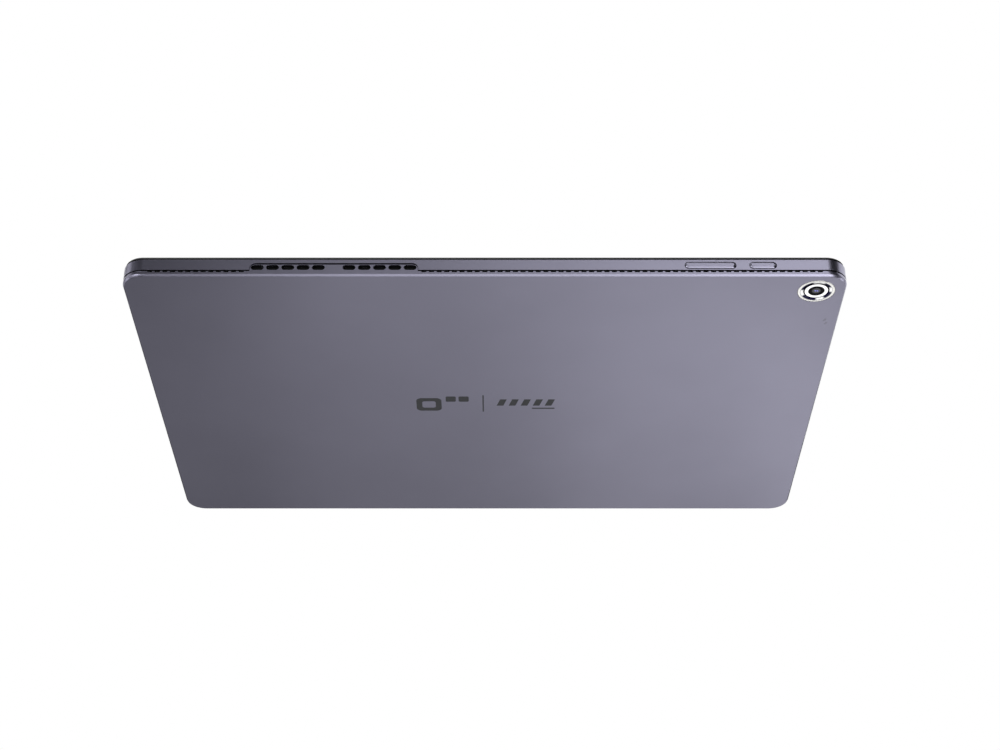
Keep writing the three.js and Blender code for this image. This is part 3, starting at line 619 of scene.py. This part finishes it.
def make_world():
    """White to the camera, even pale light on matte surfaces, and near black in reflections."""
    world = bpy.data.worlds.new("studio")
    world.use_nodes = True
    world.cycles.sampling_method = "NONE"
    scene.world = world
    tree = world.node_tree
    rays = tree.nodes.new("ShaderNodeLightPath").outputs
    colour = tree.nodes["Background"].inputs["Color"]
    mirrored, matte, seen = (0.012, 0.012, 0.013, 1), (0.98, 0.98, 1, 1), (1, 1, 1, 1)
    source = None
    for ray, shade in (("Is Diffuse Ray", matte), ("Is Camera Ray", seen)):
        mix = tree.nodes.new("ShaderNodeMix")
        mix.data_type = "RGBA"
        mix.inputs[6].default_value = mirrored
        mix.inputs[7].default_value = shade
        tree.links.new(rays[ray], mix.inputs[0])
        if source:
            tree.links.new(source, mix.inputs[6])
        source = mix.outputs[2]
    tree.links.new(source, colour)


# Name, azimuth, elevation, size in metres and watts.
SOFTBOXES = (
    ("below_front_right", 30, -30, 0.34, 1.35),
    ("below_front", 0, -30, 0.34, 0.57),
    ("below_right", 90, -30, 0.34, 0.9),
    ("below_back_right", 150, -30, 0.34, 0.33),
    ("below_back_strip", 165, -31, 0.25, 0.09),
    ("below_back", 180, -30, 0.34, 0.16),
    ("below_back_left", 210, -30, 0.34, 0.13),
    ("under", 180, -50, 0.34, 0.24),
    ("low_right", 90, -12, 0.34, 0.47),
    ("low_left", 270, -12, 0.34, 0.47),
    ("low_front_left", 300, -12, 0.34, 0.17),
    ("low_front", 0, -4, 0.3, 0.3),
    ("below_far_left", 315, -25, 0.34, 0.17),
    ("low_front_far_left", 322, -6, 0.34, 1.2),
    ("level_back_right", 120, 8, 0.34, 0.47),
    ("level_back_left", 240, 8, 0.34, 0.27),
    ("level_front_left", 300, 8, 0.34, 0.47),
    ("front_right", 20, 20, 0.2, 0.16),
    ("high_front", 0, 30, 0.34, 0.18),
    ("high_front_strip", 8, 31, 0.16, 0.07),
    ("high_front_right", 20, 31, 0.16, 0.1),
    ("high_front_far_right", 26, 31, 0.16, 0.09),
    ("high_right", 90, 30, 0.34, 0.47),
    ("high_back_right", 120, 30, 0.34, 0.47),
    ("high_back", 150, 30, 0.34, 0.47),
    ("high_back_left", 235, 31, 0.2, 0.15),
    ("high_left", 270, 30, 0.34, 0.32),
)
TOP_LIGHT = ("top", 330, 68, 0.6, 1.3)
GLASS_GLOW = ("glass_glow", 340, 60, 4, 40)
SOFTBOX_DISTANCE = 0.75


def only_for(light, *pieces, exclude=False):
    """Limits a light to some pieces, or keeps it off them."""
    linked = bpy.data.collections.new(light.name + "_pieces")
    for piece in pieces:
        linked.objects.link(piece)
    for entry in linked.collection_objects:
        entry.light_linking.link_state = "EXCLUDE" if exclude else "INCLUDE"
    light.light_linking.receiver_collection = linked


def glass_light(glass):
    """A wide light above whose edge fades out, so that the glass mirrors no hard shape."""
    light = softbox(*GLASS_GLOW)
    light.data.use_nodes = True
    tree = light.data.node_tree
    place = tree.nodes.new("ShaderNodeTexCoord").outputs["UV"]
    centred = tree.nodes.new("ShaderNodeMapping")
    centred.inputs["Location"].default_value = (-1, -1, 0)
    centred.inputs["Scale"].default_value = (2, 2, 1)
    fade = tree.nodes.new("ShaderNodeTexGradient")
    fade.gradient_type = "SPHERICAL"
    tree.links.new(place, centred.inputs["Vector"])
    tree.links.new(centred.outputs["Vector"], fade.inputs["Vector"])
    tree.links.new(fade.outputs["Fac"], tree.nodes["Emission"].inputs["Strength"])
    only_for(light, glass)


def light_all(floor, glass):
    """The ring of softboxes leaves out the floor and the glass. The one above lights everything."""
    for values in SOFTBOXES:
        only_for(softbox(*values), floor, glass, exclude=True)
    softbox(*TOP_LIGHT)
    glass_light(glass)


make_camera()
floor = make_floor()
make_world()
scene.view_settings.view_transform = "Standard"

# ------------------------------------------------------------ back cover


def archway(left, right, bottom, top, corner, steps=12):
    """The outline of the speaker tab, drawn as X and Z."""
    points = [(left, bottom), (right, bottom)]
    points += arc((right - corner, top - corner), corner, 0, 90, steps)
    points += arc((left + corner, top - corner), corner, 90, 180, steps)
    return points


def speaker_slots():
    tools = []
    for start in SLOT_STARTS:
        for i in range(SLOTS_PER_GROUP):
            outline = pill_outline(SLOT_LENGTH, SLOT_HEIGHT, 12, (start + i * SLOT_PITCH, SLOT_Z))
            rings = [on_y(outline, FRONT_Y - MM), on_y(outline, FRONT_Y + SLOT_DEPTH)]
            tools.append(loft("slot_tool", rings))
    return joined("slot_tools", tools)


def rim_notches():
    tools = []
    for first, count in NOTCH_ROWS:
        for i in range(count):
            x = first + i * NOTCH_PITCH
            low = (x - NOTCH_WIDTH / 2, FRONT_Y - MM, RIM_TOP - NOTCH_DEPTH)
            high = (x + NOTCH_WIDTH / 2, FRONT_Y + NOTCH_REACH, RIM_TOP + MM)
            tools.append(box("notch_tool", low, high))
    return joined("notch_tools", tools)


def above_rim():
    """What is cut away above the rim: all behind the key edge, and either side of its tab."""
    far = HALF_X + 5 * MM
    high = TAB_TOP + MM
    tab = archway(TAB_LEFT, TAB_RIGHT, RIM_TOP, TAB_TOP, TAB_CORNER)[1:]
    silhouette = [(-far, RIM_TOP), (TAB_LEFT, RIM_TOP), *tab[::-1]]
    silhouette += [(far, RIM_TOP), (far, high), (-far, high)]
    split = FRONT_Y + 4 * MM
    front = loft("front_tool", [on_y(silhouette, FRONT_Y - MM), on_y(silhouette, split)])
    rest = box("rest_tool", (-far, split - 0.5 * MM, RIM_TOP), (far, HALF_Y + 5 * MM, high))
    return front, rest


def back_cover():
    inset, height = COVER_CHAMFER
    rings = [
        case_ring(COVER_WALL + COVER_FILLET, COVER_FLOOR),
        case_ring(COVER_WALL, COVER_FLOOR + COVER_FILLET),
        case_ring(COVER_WALL, TAB_TOP),
        case_ring(0, TAB_TOP),
        case_ring(0, height),
        case_ring(inset, 0),
    ]
    cover = dress(loft("back_cover_shell", rings), "painted_metal")
    hole = circle_outline(TRIM_OUTER + CAMERA_HOLE_GAP, 96, (CAMERA_X, CAMERA_Y))
    camera_tool = loft("camera_tool", [on_z(hole, -MM), on_z(hole, 2 * MM)])
    carve(cover, *above_rim())
    carve(cover, camera_tool)
    # The slot and notch walls are lined with near-black painted shade.
    carve(cover, speaker_slots(), liner="seam_gasket")
    carve(cover, rim_notches(), liner="seam_gasket")
    soften(cover, EDGE_ROUND)
    return place(cover, "painted_metal", stands_for=["back_cover"])


def printed(name, outline, hole=None):
    """A printed shape on the back face: a film that stands its own thickness proud."""
    levels = (-FILM, FILM)
    if hole is None:
        return loft(name, [on_z(outline, z) for z in levels])
    low, high = levels
    rings = [on_z(outline, low), on_z(outline, high), on_z(hole, high), on_z(hole, low)]
    return loft(name, rings, closed=True)


def slanted_bar(left, front, width, depth, slant):
    """A bar with a lean. Its top is nearest to the key edge."""
    return [
        (left, front + depth),
        (left + width, front + depth),
        (left + width + slant, front),
        (left + slant, front),
    ]


def back_prints():
    """Two plain printed motifs with a thin line between them, and a small symbol by the camera."""
    outer = rounded_outline(*MARK_OUTER, 10, MARK_CENTRE)
    inner = rounded_outline(*MARK_INNER, 10, MARK_CENTRE)
    films = [printed("motif_frame", outer, inner)]
    for i, centre in enumerate(TILE_CENTRES):
        films.append(printed(f"motif_tile_{i + 1}", rounded_outline(*TILE, 8, centre)))
    films.append(printed("motif_rule", rounded_outline(*RULE, 4, RULE_CENTRE)))
    for i, start in enumerate(BAR_STARTS):
        films.append(printed(f"motif_bar_{i + 1}", slanted_bar(start * MM, *BAR)))
    films.append(printed("motif_underline", rounded_outline(*UNDERLINE, 6, UNDERLINE_CENTRE)))
    for film in films:
        place(film, "print_ink", slot="painted_metal")
    for i, offset in enumerate((-1.0, 1.0)):
        x, y = (FLASH_MARK[0] + FLASH_LEAN * offset * MM, FLASH_MARK[1] + offset * MM)
        bar = slanted_bar(x - FLASH_CORNER[0], y - FLASH_CORNER[1], *FLASH_BAR)
        place(printed(f"flash_symbol_{i + 1}", bar), "faint_ink", slot="painted_metal")


back_cover()
back_prints()

# ------------------------------------------------------------ side frame


def frame_openings():
    """Tools for the tab's recess, the sound windows, the keys, the ports and the card tray."""
    inside = FRAME_WALL + CUT_PAST
    tools = []
    recess = archway(
        TAB_LEFT - TAB_GAP_SIDE,
        TAB_RIGHT + TAB_GAP_SIDE,
        FRAME_BOTTOM - CUT_PAST,
        TAB_TOP + TAB_GAP_TOP,
        TAB_CORNER + TAB_GAP_CORNER,
    )
    recess_rings = [on_y(recess, FRONT_Y - MM), on_y(recess, FRONT_Y + LIP_INSET)]
    tools.append(loft("recess_tool", recess_rings))
    for left in SPEAKER_LEFTS:
        window_low = (left + MM, FRONT_Y + LIP_INSET - OVERLAP, SOUND_WINDOW[0])
        window_high = (left + SPEAKER_WIDTH - MM, FRONT_Y + inside, SOUND_WINDOW[1])
        tools.append(box("sound_tool", window_low, window_high))
    for name, length in KEYS.items():
        low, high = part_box(name)
        centre = ((low.x + high.x) / 2, MID_HEIGHT - KEY_DROP)
        hole = pill_outline(length + 2 * KEY_GAP, KEY_HEIGHT + 2 * KEY_GAP, 16, centre)
        tools.append(loft("key_tool", [on_y(hole, FRONT_Y - MM), on_y(hole, FRONT_Y + inside)]))
    usb_centre = ((usb_low.y + usb_high.y) / 2, (usb_low.z + usb_high.z) / 2)
    usb_length, usb_height = usb_high.y - usb_low.y, usb_high.z - usb_low.z
    usb_size = (usb_length + 2 * USB_HOLE_GAP, usb_height + 2 * USB_HOLE_GAP)
    tray_centre = ((tray_low.y + tray_high.y) / 2, (tray_low.z + tray_high.z) / 2)
    tray_size = (TRAY_FACE[0] + 2 * TRAY_GAP, TRAY_FACE[1] + 2 * TRAY_GAP)
    jack_centre = ((jack_low.y + jack_high.y) / 2, MID_HEIGHT)
    side_holes = (
        (pill_outline(*usb_size, 16, usb_centre), inside),
        (pill_outline(*tray_size, 16, tray_centre), TRAY_FACE_DEPTH + TRAY_GAP),
        (circle_outline(JACK_RADIUS, 48, jack_centre), inside),
        (circle_outline(MIC_RADIUS, 24, (MIC_Y, MIC_Z)), inside),
    )
    for outline, depth in side_holes:
        tools.append(loft("side_tool", [on_x(outline, SIDE_X - depth), on_x(outline, SIDE_X + MM)]))
    slot_low = (SIDE_X - inside, tray_centre[0] - TRAY_SLOT_HALF, TRAY_SLOT_BOTTOM)
    slot_high = (SIDE_X - TRAY_FACE_DEPTH, tray_centre[0] + TRAY_SLOT_HALF, TRAY_SLOT_TOP)
    tools.append(box("tray_slot_tool", slot_low, slot_high))
    return tools


def side_frame():
    """The painted ring. Its faces over the seam and behind the tab are near black, as painted
    shade.
    """
    rings = [
        case_ring(0, FRAME_BOTTOM),
        case_ring(0, FRAME_TOP - FRAME_CHAMFER),
        case_ring(FRAME_CHAMFER, FRAME_TOP),
        case_ring(FRAME_WALL, FRAME_TOP),
        case_ring(FRAME_WALL, LIP_BOTTOM),
        case_ring(LIP_INSET, LIP_BOTTOM),
        case_ring(LIP_INSET, FRAME_BOTTOM),
    ]
    piece = dress(loft("side_frame_shell", rings, closed=True), "painted_metal")
    piece.data.materials.append(materials["seam_gasket"])
    carve(piece, *frame_openings())
    # Painted shade: near black on the underside over the seam and on the lip behind the tab.
    for face in piece.data.polygons:
        behind_tab = abs(face.center.y - FRONT_Y - LIP_INSET) < 0.02 * MM
        if face.center.z < FRAME_BOTTOM + 0.01 * MM or behind_tab:
            face.material_index = 1
    soften(piece, EDGE_ROUND)
    place(piece, "painted_metal", stands_for=["side_frame"])


side_frame()

# ------------------------------------------------------------ glass


def cover_glass():
    top, bottom = glass_high.z, glass_low.z
    rings = [
        case_ring(GLASS_INSET + GLASS_BEVEL, bottom),
        case_ring(GLASS_INSET, bottom + GLASS_BEVEL),
    ]
    for i in range(GLASS_STEPS + 1):
        angle = math.radians(90 * i / GLASS_STEPS)
        inset = GLASS_INSET + GLASS_ROUND * (1 - math.cos(angle))
        rings.append(case_ring(inset, top - GLASS_ROUND * (1 - math.sin(angle))))
    piece = loft("screen_glass", rings)
    smooth(piece, 50)
    weights = piece.modifiers.new("shading", "WEIGHTED_NORMAL")
    weights.keep_sharp = True
    return place(piece, "cover_glass", stands_for=["cover_glass"])


light_all(floor, cover_glass())

# ------------------------------------------------------------ rear camera


def camera_angle(surface):
    """Offsets from the camera's centre, angle from the left in turns, and distance."""
    x, y, _ = surface.axes()
    across = surface.math("SUBTRACT", x, CAMERA_X)
    along = surface.math("SUBTRACT", y, CAMERA_Y)
    turn = surface.math("ARCTAN2", along, across)
    fraction = surface.math("ADD", surface.math("DIVIDE", turn, math.tau), 0.5)
    squares = [surface.math("MULTIPLY", value, value) for value in (across, along)]
    distance = surface.math("SQRT", surface.math("ADD", *squares))
    return across, along, fraction, distance


def steps_ramp(surface, source, stops):
    """A ramp whose colours change within a narrow stretch at each stop."""
    blend = 0.012
    points = []
    for (position, colour), (_, before) in zip(stops[1:], stops):
        points += [(position - blend, before), (position + blend, colour)]
    return surface.ramp(source, (0, stops[0][1]), *points)


def trim_material():
    """Diamond-cut ring: a bright flat face, and a cone with painted dark blue and bright
    reflections.
    """
    surface = Surface("diamond_cut_ring_painted_light", Metallic=1.0)
    _, _, fraction, distance = camera_angle(surface)
    navy, white = (0.008, 0.007, 0.035), (0.95, 0.95, 0.94)
    # Painted reflections: navy and white steps by angle round the camera, on the cone.
    painted_reflections = (
        (0, white), (0.015, navy), (0.203, white), (0.325, navy), (0.43, white),
        (0.514, navy), (0.647, white), (0.733, navy), (0.911, white),
    )
    cone = steps_ramp(surface, fraction, painted_reflections)
    on_cone = surface.span(distance, 1, 0, TRIM_FACE - 0.06 * MM, TRIM_FACE + 0.02 * MM)
    lines = surface.noise(0.25 * MM, 1)
    bright = surface.ramp(lines, (0.3, (0.76, 0.755, 0.72)), (0.7, (0.85, 0.845, 0.815)))
    # Painted shade: a grey line along the crease between the flat face and the cone.
    off_edge = surface.math("ABSOLUTE", surface.math("SUBTRACT", distance, TRIM_FACE))
    edge = surface.span(off_edge, 1, 0, 0.03 * MM, 0.09 * MM)
    # Painted shade: near black with no specular inside the trim, from just within the cone's inner
    # end.
    gap_shade = surface.span(distance, 1, 0, *TRIM_GAP_SHADE)
    tone = surface.mix(edge, surface.mix(on_cone, bright, cone), (0.3, 0.3, 0.31))
    surface.colour(surface.mix(gap_shade, tone, (0.001, 0.001, 0.001)))
    surface.link(surface.span(on_cone, 0.75, 0.2, 0, 1), surface.shader.inputs["Metallic"])
    surface.link(surface.span(gap_shade, 0.5, 0, 0, 1), surface.shader.inputs["Specular IOR Level"])
    surface.rough(lines, 0.2, 0.3)
    return surface.material


def ring_material():
    """Gloss white between rims of black painted shade, and a hair-thin groove round its middle in
    grey painted shade.
    """
    surface = Surface("white_ring", Roughness=0.3)
    _, _, _, distance = camera_angle(surface)
    # Painted shade: the grey line along the groove that the bump draws.
    offset = surface.math("ABSOLUTE", surface.math("SUBTRACT", distance, RING_GROOVE))
    groove = surface.span(offset, 1, 0, 0.04 * MM, 0.1 * MM)
    grain = surface.noise(0.3 * MM, 2)
    white = surface.ramp(grain, (0.3, (0.84, 0.84, 0.83)), (0.7, (0.9, 0.9, 0.89)))
    # Painted shade: near black over the rounded rims, beside the trim and the lens.
    outer = surface.span(distance, 0, 1, *RING_OUTER_RIM_SHADE)
    inner = surface.span(distance, 1, 0, *RING_INNER_RIM_SHADE)
    rim = surface.math("MAXIMUM", outer, inner)
    face = surface.mix(groove, white, (0.52, 0.52, 0.54))
    surface.colour(surface.mix(rim, face, (0.001, 0.001, 0.001)))
    surface.bump(groove, 0.5, 0.03 * MM)
    return surface.material


def lens_material():
    """Black coated lens: a grey barrel seen through it, and two small painted blue glints in the
    middle.
    """
    surface = Surface("coated_lens_painted_glints", Roughness=0.3, Specular_IOR_Level=0.04)
    across, along, _, distance = camera_angle(surface)
    grain = surface.noise(0.2 * MM, 1)
    black = surface.ramp(grain, (0.3, (0.0008, 0.0008, 0.001)), (0.7, (0.002, 0.002, 0.0025)))
    barrel = surface.span(distance, 1, 0, *LENS_BARREL)
    tone = surface.mix(barrel, black, (0.06, 0.06, 0.064))
    # Painted highlights: two small blue glints mixed into the lens colour.
    for x, y in PAINTED_GLINTS:
        offsets = (surface.math("SUBTRACT", across, x), surface.math("SUBTRACT", along, y))
        squares = [surface.math("MULTIPLY", value, value) for value in offsets]
        reach = surface.math("SQRT", surface.math("ADD", *squares))
        painted_glint = surface.span(reach, 1, 0, *PAINTED_GLINT_FADE)
        tone = surface.mix(painted_glint, tone, (0.28, 0.30, 0.85))
    surface.colour(tone)
    return surface.material


# Profiles of radius and height in millimetres, from the middle of the back's outer face.
TRIM_PROFILE = (
    (5.42, 0.03), (5.5, 0.004), (6.27, 0.004), (6.34, 0.03), (6.37, 0.07), (6.375, 0.12),
    (6.375, 0.85), (6.85, 0.85), (6.85, 1.3), (4.3, 1.3), (4.3, 0.33), (4.34, 0.27),
)
RING_PROFILE = (
    (2.75, 0.15), (2.82, 0.12), (3.93, 0.12), (4.0, 0.14),
    (4.05, 0.19), (4.05, 1.2), (2.7, 1.2), (2.7, 0.2),
)
LENS_TOP, LENS_CURVE, LENS_HOLE = 0.18, 0.028, 0.02
LENS_DOME_RADII = (0.3, 0.6, 0.9, 1.2, 1.5, 1.8, 2.1, 2.4)
LENS_RIM = ((2.58, 0.4), (2.6, 0.48), (2.6, 1.1), (LENS_HOLE, 1.1))


def in_metres(profile):
    return [(radius * MM, z * MM) for radius, z in profile]


def rear_camera():
    """The trim ring, the white ring and the domed lens, each turned about the camera's centre."""
    centre = (CAMERA_X, CAMERA_Y)
    materials["diamond_cut_ring_painted_light"] = trim_material()
    materials["white_ring"] = ring_material()
    materials["coated_lens_painted_glints"] = lens_material()
    trim = soften(lathe("camera_trim", in_metres(TRIM_PROFILE), centre), 0.02 * MM, 1, 50)
    place(trim, "diamond_cut_ring_painted_light", stands_for=["rear_camera_trim"], slot="polished_metal")
    ring = smooth(lathe("camera_inner_ring", in_metres(RING_PROFILE), centre), 50)
    place(ring, "white_ring", stands_for=["rear_camera_inner_ring"], slot="white_plastic")
    dome = [(radius, LENS_TOP + LENS_CURVE * radius * radius) for radius in LENS_DOME_RADII]
    profile = in_metres([(LENS_HOLE, LENS_TOP), *dome, *LENS_RIM])
    rings = [on_z(circle_outline(radius, 72, centre), z) for radius, z in profile]
    lens = smooth(loft("camera_lens", rings), 50)
    place(lens, "coated_lens_painted_glints", stands_for=["rear_camera_lens"], slot="lens_glass")


rear_camera()

# ------------------------------------------------------------ keys


def key_cap(name, length):
    """A pill with a broad chamfer and flanks painted black as shade, on its flange and pusher nibs.
    """
    low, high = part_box(name)
    x = (low.x + high.x) / 2
    face = low.y
    flange_back = FLANGE_BACK[name]
    flange_front = flange_back - FLANGE_THICKNESS
    chamfer, depth = KEY_CHAMFER
    rings = []
    for inset, y in ((0, flange_front + OVERLAP), (0, face + depth), (chamfer, face)):
        outline = pill_outline(length - 2 * inset, KEY_HEIGHT - 2 * inset, 24, (x, MID_HEIGHT))
        rings.append(on_y(outline, y))
    cap = dress(loft(name + "_cap", rings), "painted_metal")
    cap.data.materials.append(materials["seam_gasket"])
    # The flanks behind the chamfer get near-black painted shade.
    for side in cap.data.polygons:
        if side.center.y > face + depth + 0.05 * MM:
            side.material_index = 1
    half = FLANGE_HEIGHT / 2
    flange_low = (low.x, flange_front, MID_HEIGHT - half)
    flange_high = (high.x, flange_back, MID_HEIGHT + half)
    tools = [box("flange", flange_low, flange_high)]
    for offset in NIBS[name]:
        middle = x + offset
        nib_low = (middle - NIB_HALF_WIDTH, flange_back - OVERLAP, MID_HEIGHT - NIB_HALF_HEIGHT)
        nib_high = (middle + NIB_HALF_WIDTH, high.y, MID_HEIGHT + NIB_HALF_HEIGHT)
        tools.append(box("nib", nib_low, nib_high))
    carve(cap, *tools, operation="UNION")
    place(soften(cap, 0.04 * MM, 2, 25), "painted_metal", body=name, stands_for=[name])


for key_name, key_length in KEYS.items():
    key_cap(key_name, key_length)

# ------------------------------------------------------------ ports and card tray


def stadium_rings(low, high, insets_and_x):
    """Pill outlines round the middle of a box on the port edge, one for each inset and X."""
    centre = ((low.y + high.y) / 2, (low.z + high.z) / 2)
    rings = []
    for inset, x in insets_and_x:
        length = high.y - low.y - 2 * inset
        height = high.z - low.z - 2 * inset
        rings.append(on_x(pill_outline(length, height, 20, centre), x))
    return rings


def usb_port():
    """The socket's steel shell, its tongue, and the gold contacts on both faces of the tongue."""
    low, high = usb_low, usb_high
    wall, floor, round_back, round_front = 0.33 * MM, 0.6 * MM, 0.06 * MM, 0.08 * MM
    shell = loft("usb_shell", stadium_rings(low, high, (
        (round_back, low.x),
        (0, low.x + round_back),
        (0, high.x - round_front),
        (round_front, high.x),
        (wall - 0.1 * MM, high.x),
        (wall, high.x - 0.12 * MM),
        (wall, low.x + floor),
    )))
    place(smooth(shell, 40), "bare_steel", stands_for=["usb_port_shell"])
    tongue_low, tongue_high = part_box("usb_port_tongue")
    nose, taper = 0.25 * MM, 0.12 * MM
    rings = []
    for inset, x in ((0, tongue_low.x), (0, tongue_high.x - nose), (taper, tongue_high.x)):
        half_y = (tongue_high.y - tongue_low.y) / 2 - inset
        half_z = (tongue_high.z - tongue_low.z) / 2 - inset
        centre = ((tongue_high.y + tongue_low.y) / 2, (tongue_high.z + tongue_low.z) / 2)
        rings.append(on_x(rounded_outline(half_y, half_z, 0.12 * MM, 4, centre), x))
    tongue = loft("usb_tongue", rings)
    place(smooth(tongue, 40), "black_plastic", stands_for=["usb_port_tongue"])
    contacts = []
    count, pitch, half_width, proud = 12, 0.5 * MM, 0.13 * MM, 0.02 * MM
    for i in range(count):
        y = (tongue_low.y + tongue_high.y) / 2 + (i - (count - 1) / 2) * pitch
        for z in (tongue_low.z, tongue_high.z):
            start = (tongue_low.x + 0.3 * MM, y - half_width, z - proud)
            stop = (tongue_high.x - 0.6 * MM, y + half_width, z + proud)
            contacts.append(box("contact", start, stop))
    contacts = soften(joined("usb_contacts", contacts), 0.01 * MM, 1, 50)
    place(contacts, "gold_contact", slot="bare_steel")


# Radius of the headphone socket's steel collar and its place from the case's side, in millimetres.
COLLAR_PROFILE = ((1.75, -0.1), (1.75, -2.2), (1.6, -2.2), (1.6, -0.16), (1.66, -0.1))


def headphone_socket():
    low, high = jack_low, jack_high
    centre = ((low.y + high.y) / 2, MID_HEIGHT)
    half_y, half_z = (high.y - low.y) / 2, (high.z - low.z) / 2
    middle = (centre[0], (low.z + high.z) / 2)
    outline = rounded_outline(half_y, half_z, 0.4 * MM, 4, middle)
    body = loft("headphone_socket", [on_x(outline, low.x), on_x(outline, high.x)])
    dress(body, "black_plastic")
    bore = circle_outline(JACK_RADIUS, 48, centre)
    carve(body, loft("bore", [on_x(bore, low.x + MM), on_x(bore, high.x + MM)]))
    place(soften(body, 0.08 * MM), "black_plastic", stands_for=["headphone_jack"])
    collar_rings = []
    for radius, x in COLLAR_PROFILE:
        collar_rings.append(on_x(circle_outline(radius * MM, 48, centre), SIDE_X + x * MM))
    collar = loft("headphone_collar", collar_rings, closed=True)
    place(smooth(collar, 40), "bare_steel", slot="polished_metal")


def card_tray():
    """The painted face with its ejector hole, on a plate with a card pocket and a window."""
    low, high = tray_low, tray_high
    face_back = high.x - TRAY_FACE_DEPTH
    face = dress(loft("card_tray_face", stadium_rings(low, high, (
        (0, face_back),
        (0, high.x - 0.12 * MM),
        (0.04 * MM, high.x - 0.04 * MM),
        (0.12 * MM, high.x),
    ))), "painted_metal")
    y = (low.y + high.y) / 2
    plate_low = (low.x, y - TRAY_PLATE_HALF, TRAY_PLATE_BOTTOM)
    plate_high = (face_back + OVERLAP, y + TRAY_PLATE_HALF, TRAY_PLATE_TOP)
    carve(face, box("plate", plate_low, plate_high), operation="UNION")
    cuts = []
    for inner, outer, half, bottom in (TRAY_POCKET, TRAY_WINDOW):
        cut_low = (low.x + inner, y - half, bottom)
        cut_high = (high.x - outer, y + half, TRAY_CUT_TOP)
        cuts.append(box("tray_cut", cut_low, cut_high))
    hole = circle_outline(EJECT_RADIUS, 24, (EJECT_Y, EJECT_Z))
    eject = loft("eject", [on_x(hole, high.x - 3 * MM), on_x(hole, high.x + MM)])
    carve(face, *cuts, eject)
    place(soften(face, 0.05 * MM), "painted_metal", body="card_tray", stands_for=["card_tray"])


usb_port()
headphone_socket()
card_tray()

# ------------------------------------------------------------ carried-over CAD nodes

for entry in frame["record"]["subparts"]:
    node = nodes[entry["node"]]
    name = "speaker_cloth" if entry["node"].startswith("speaker_mesh") else entry["material_slot"]
    dress(node, name)
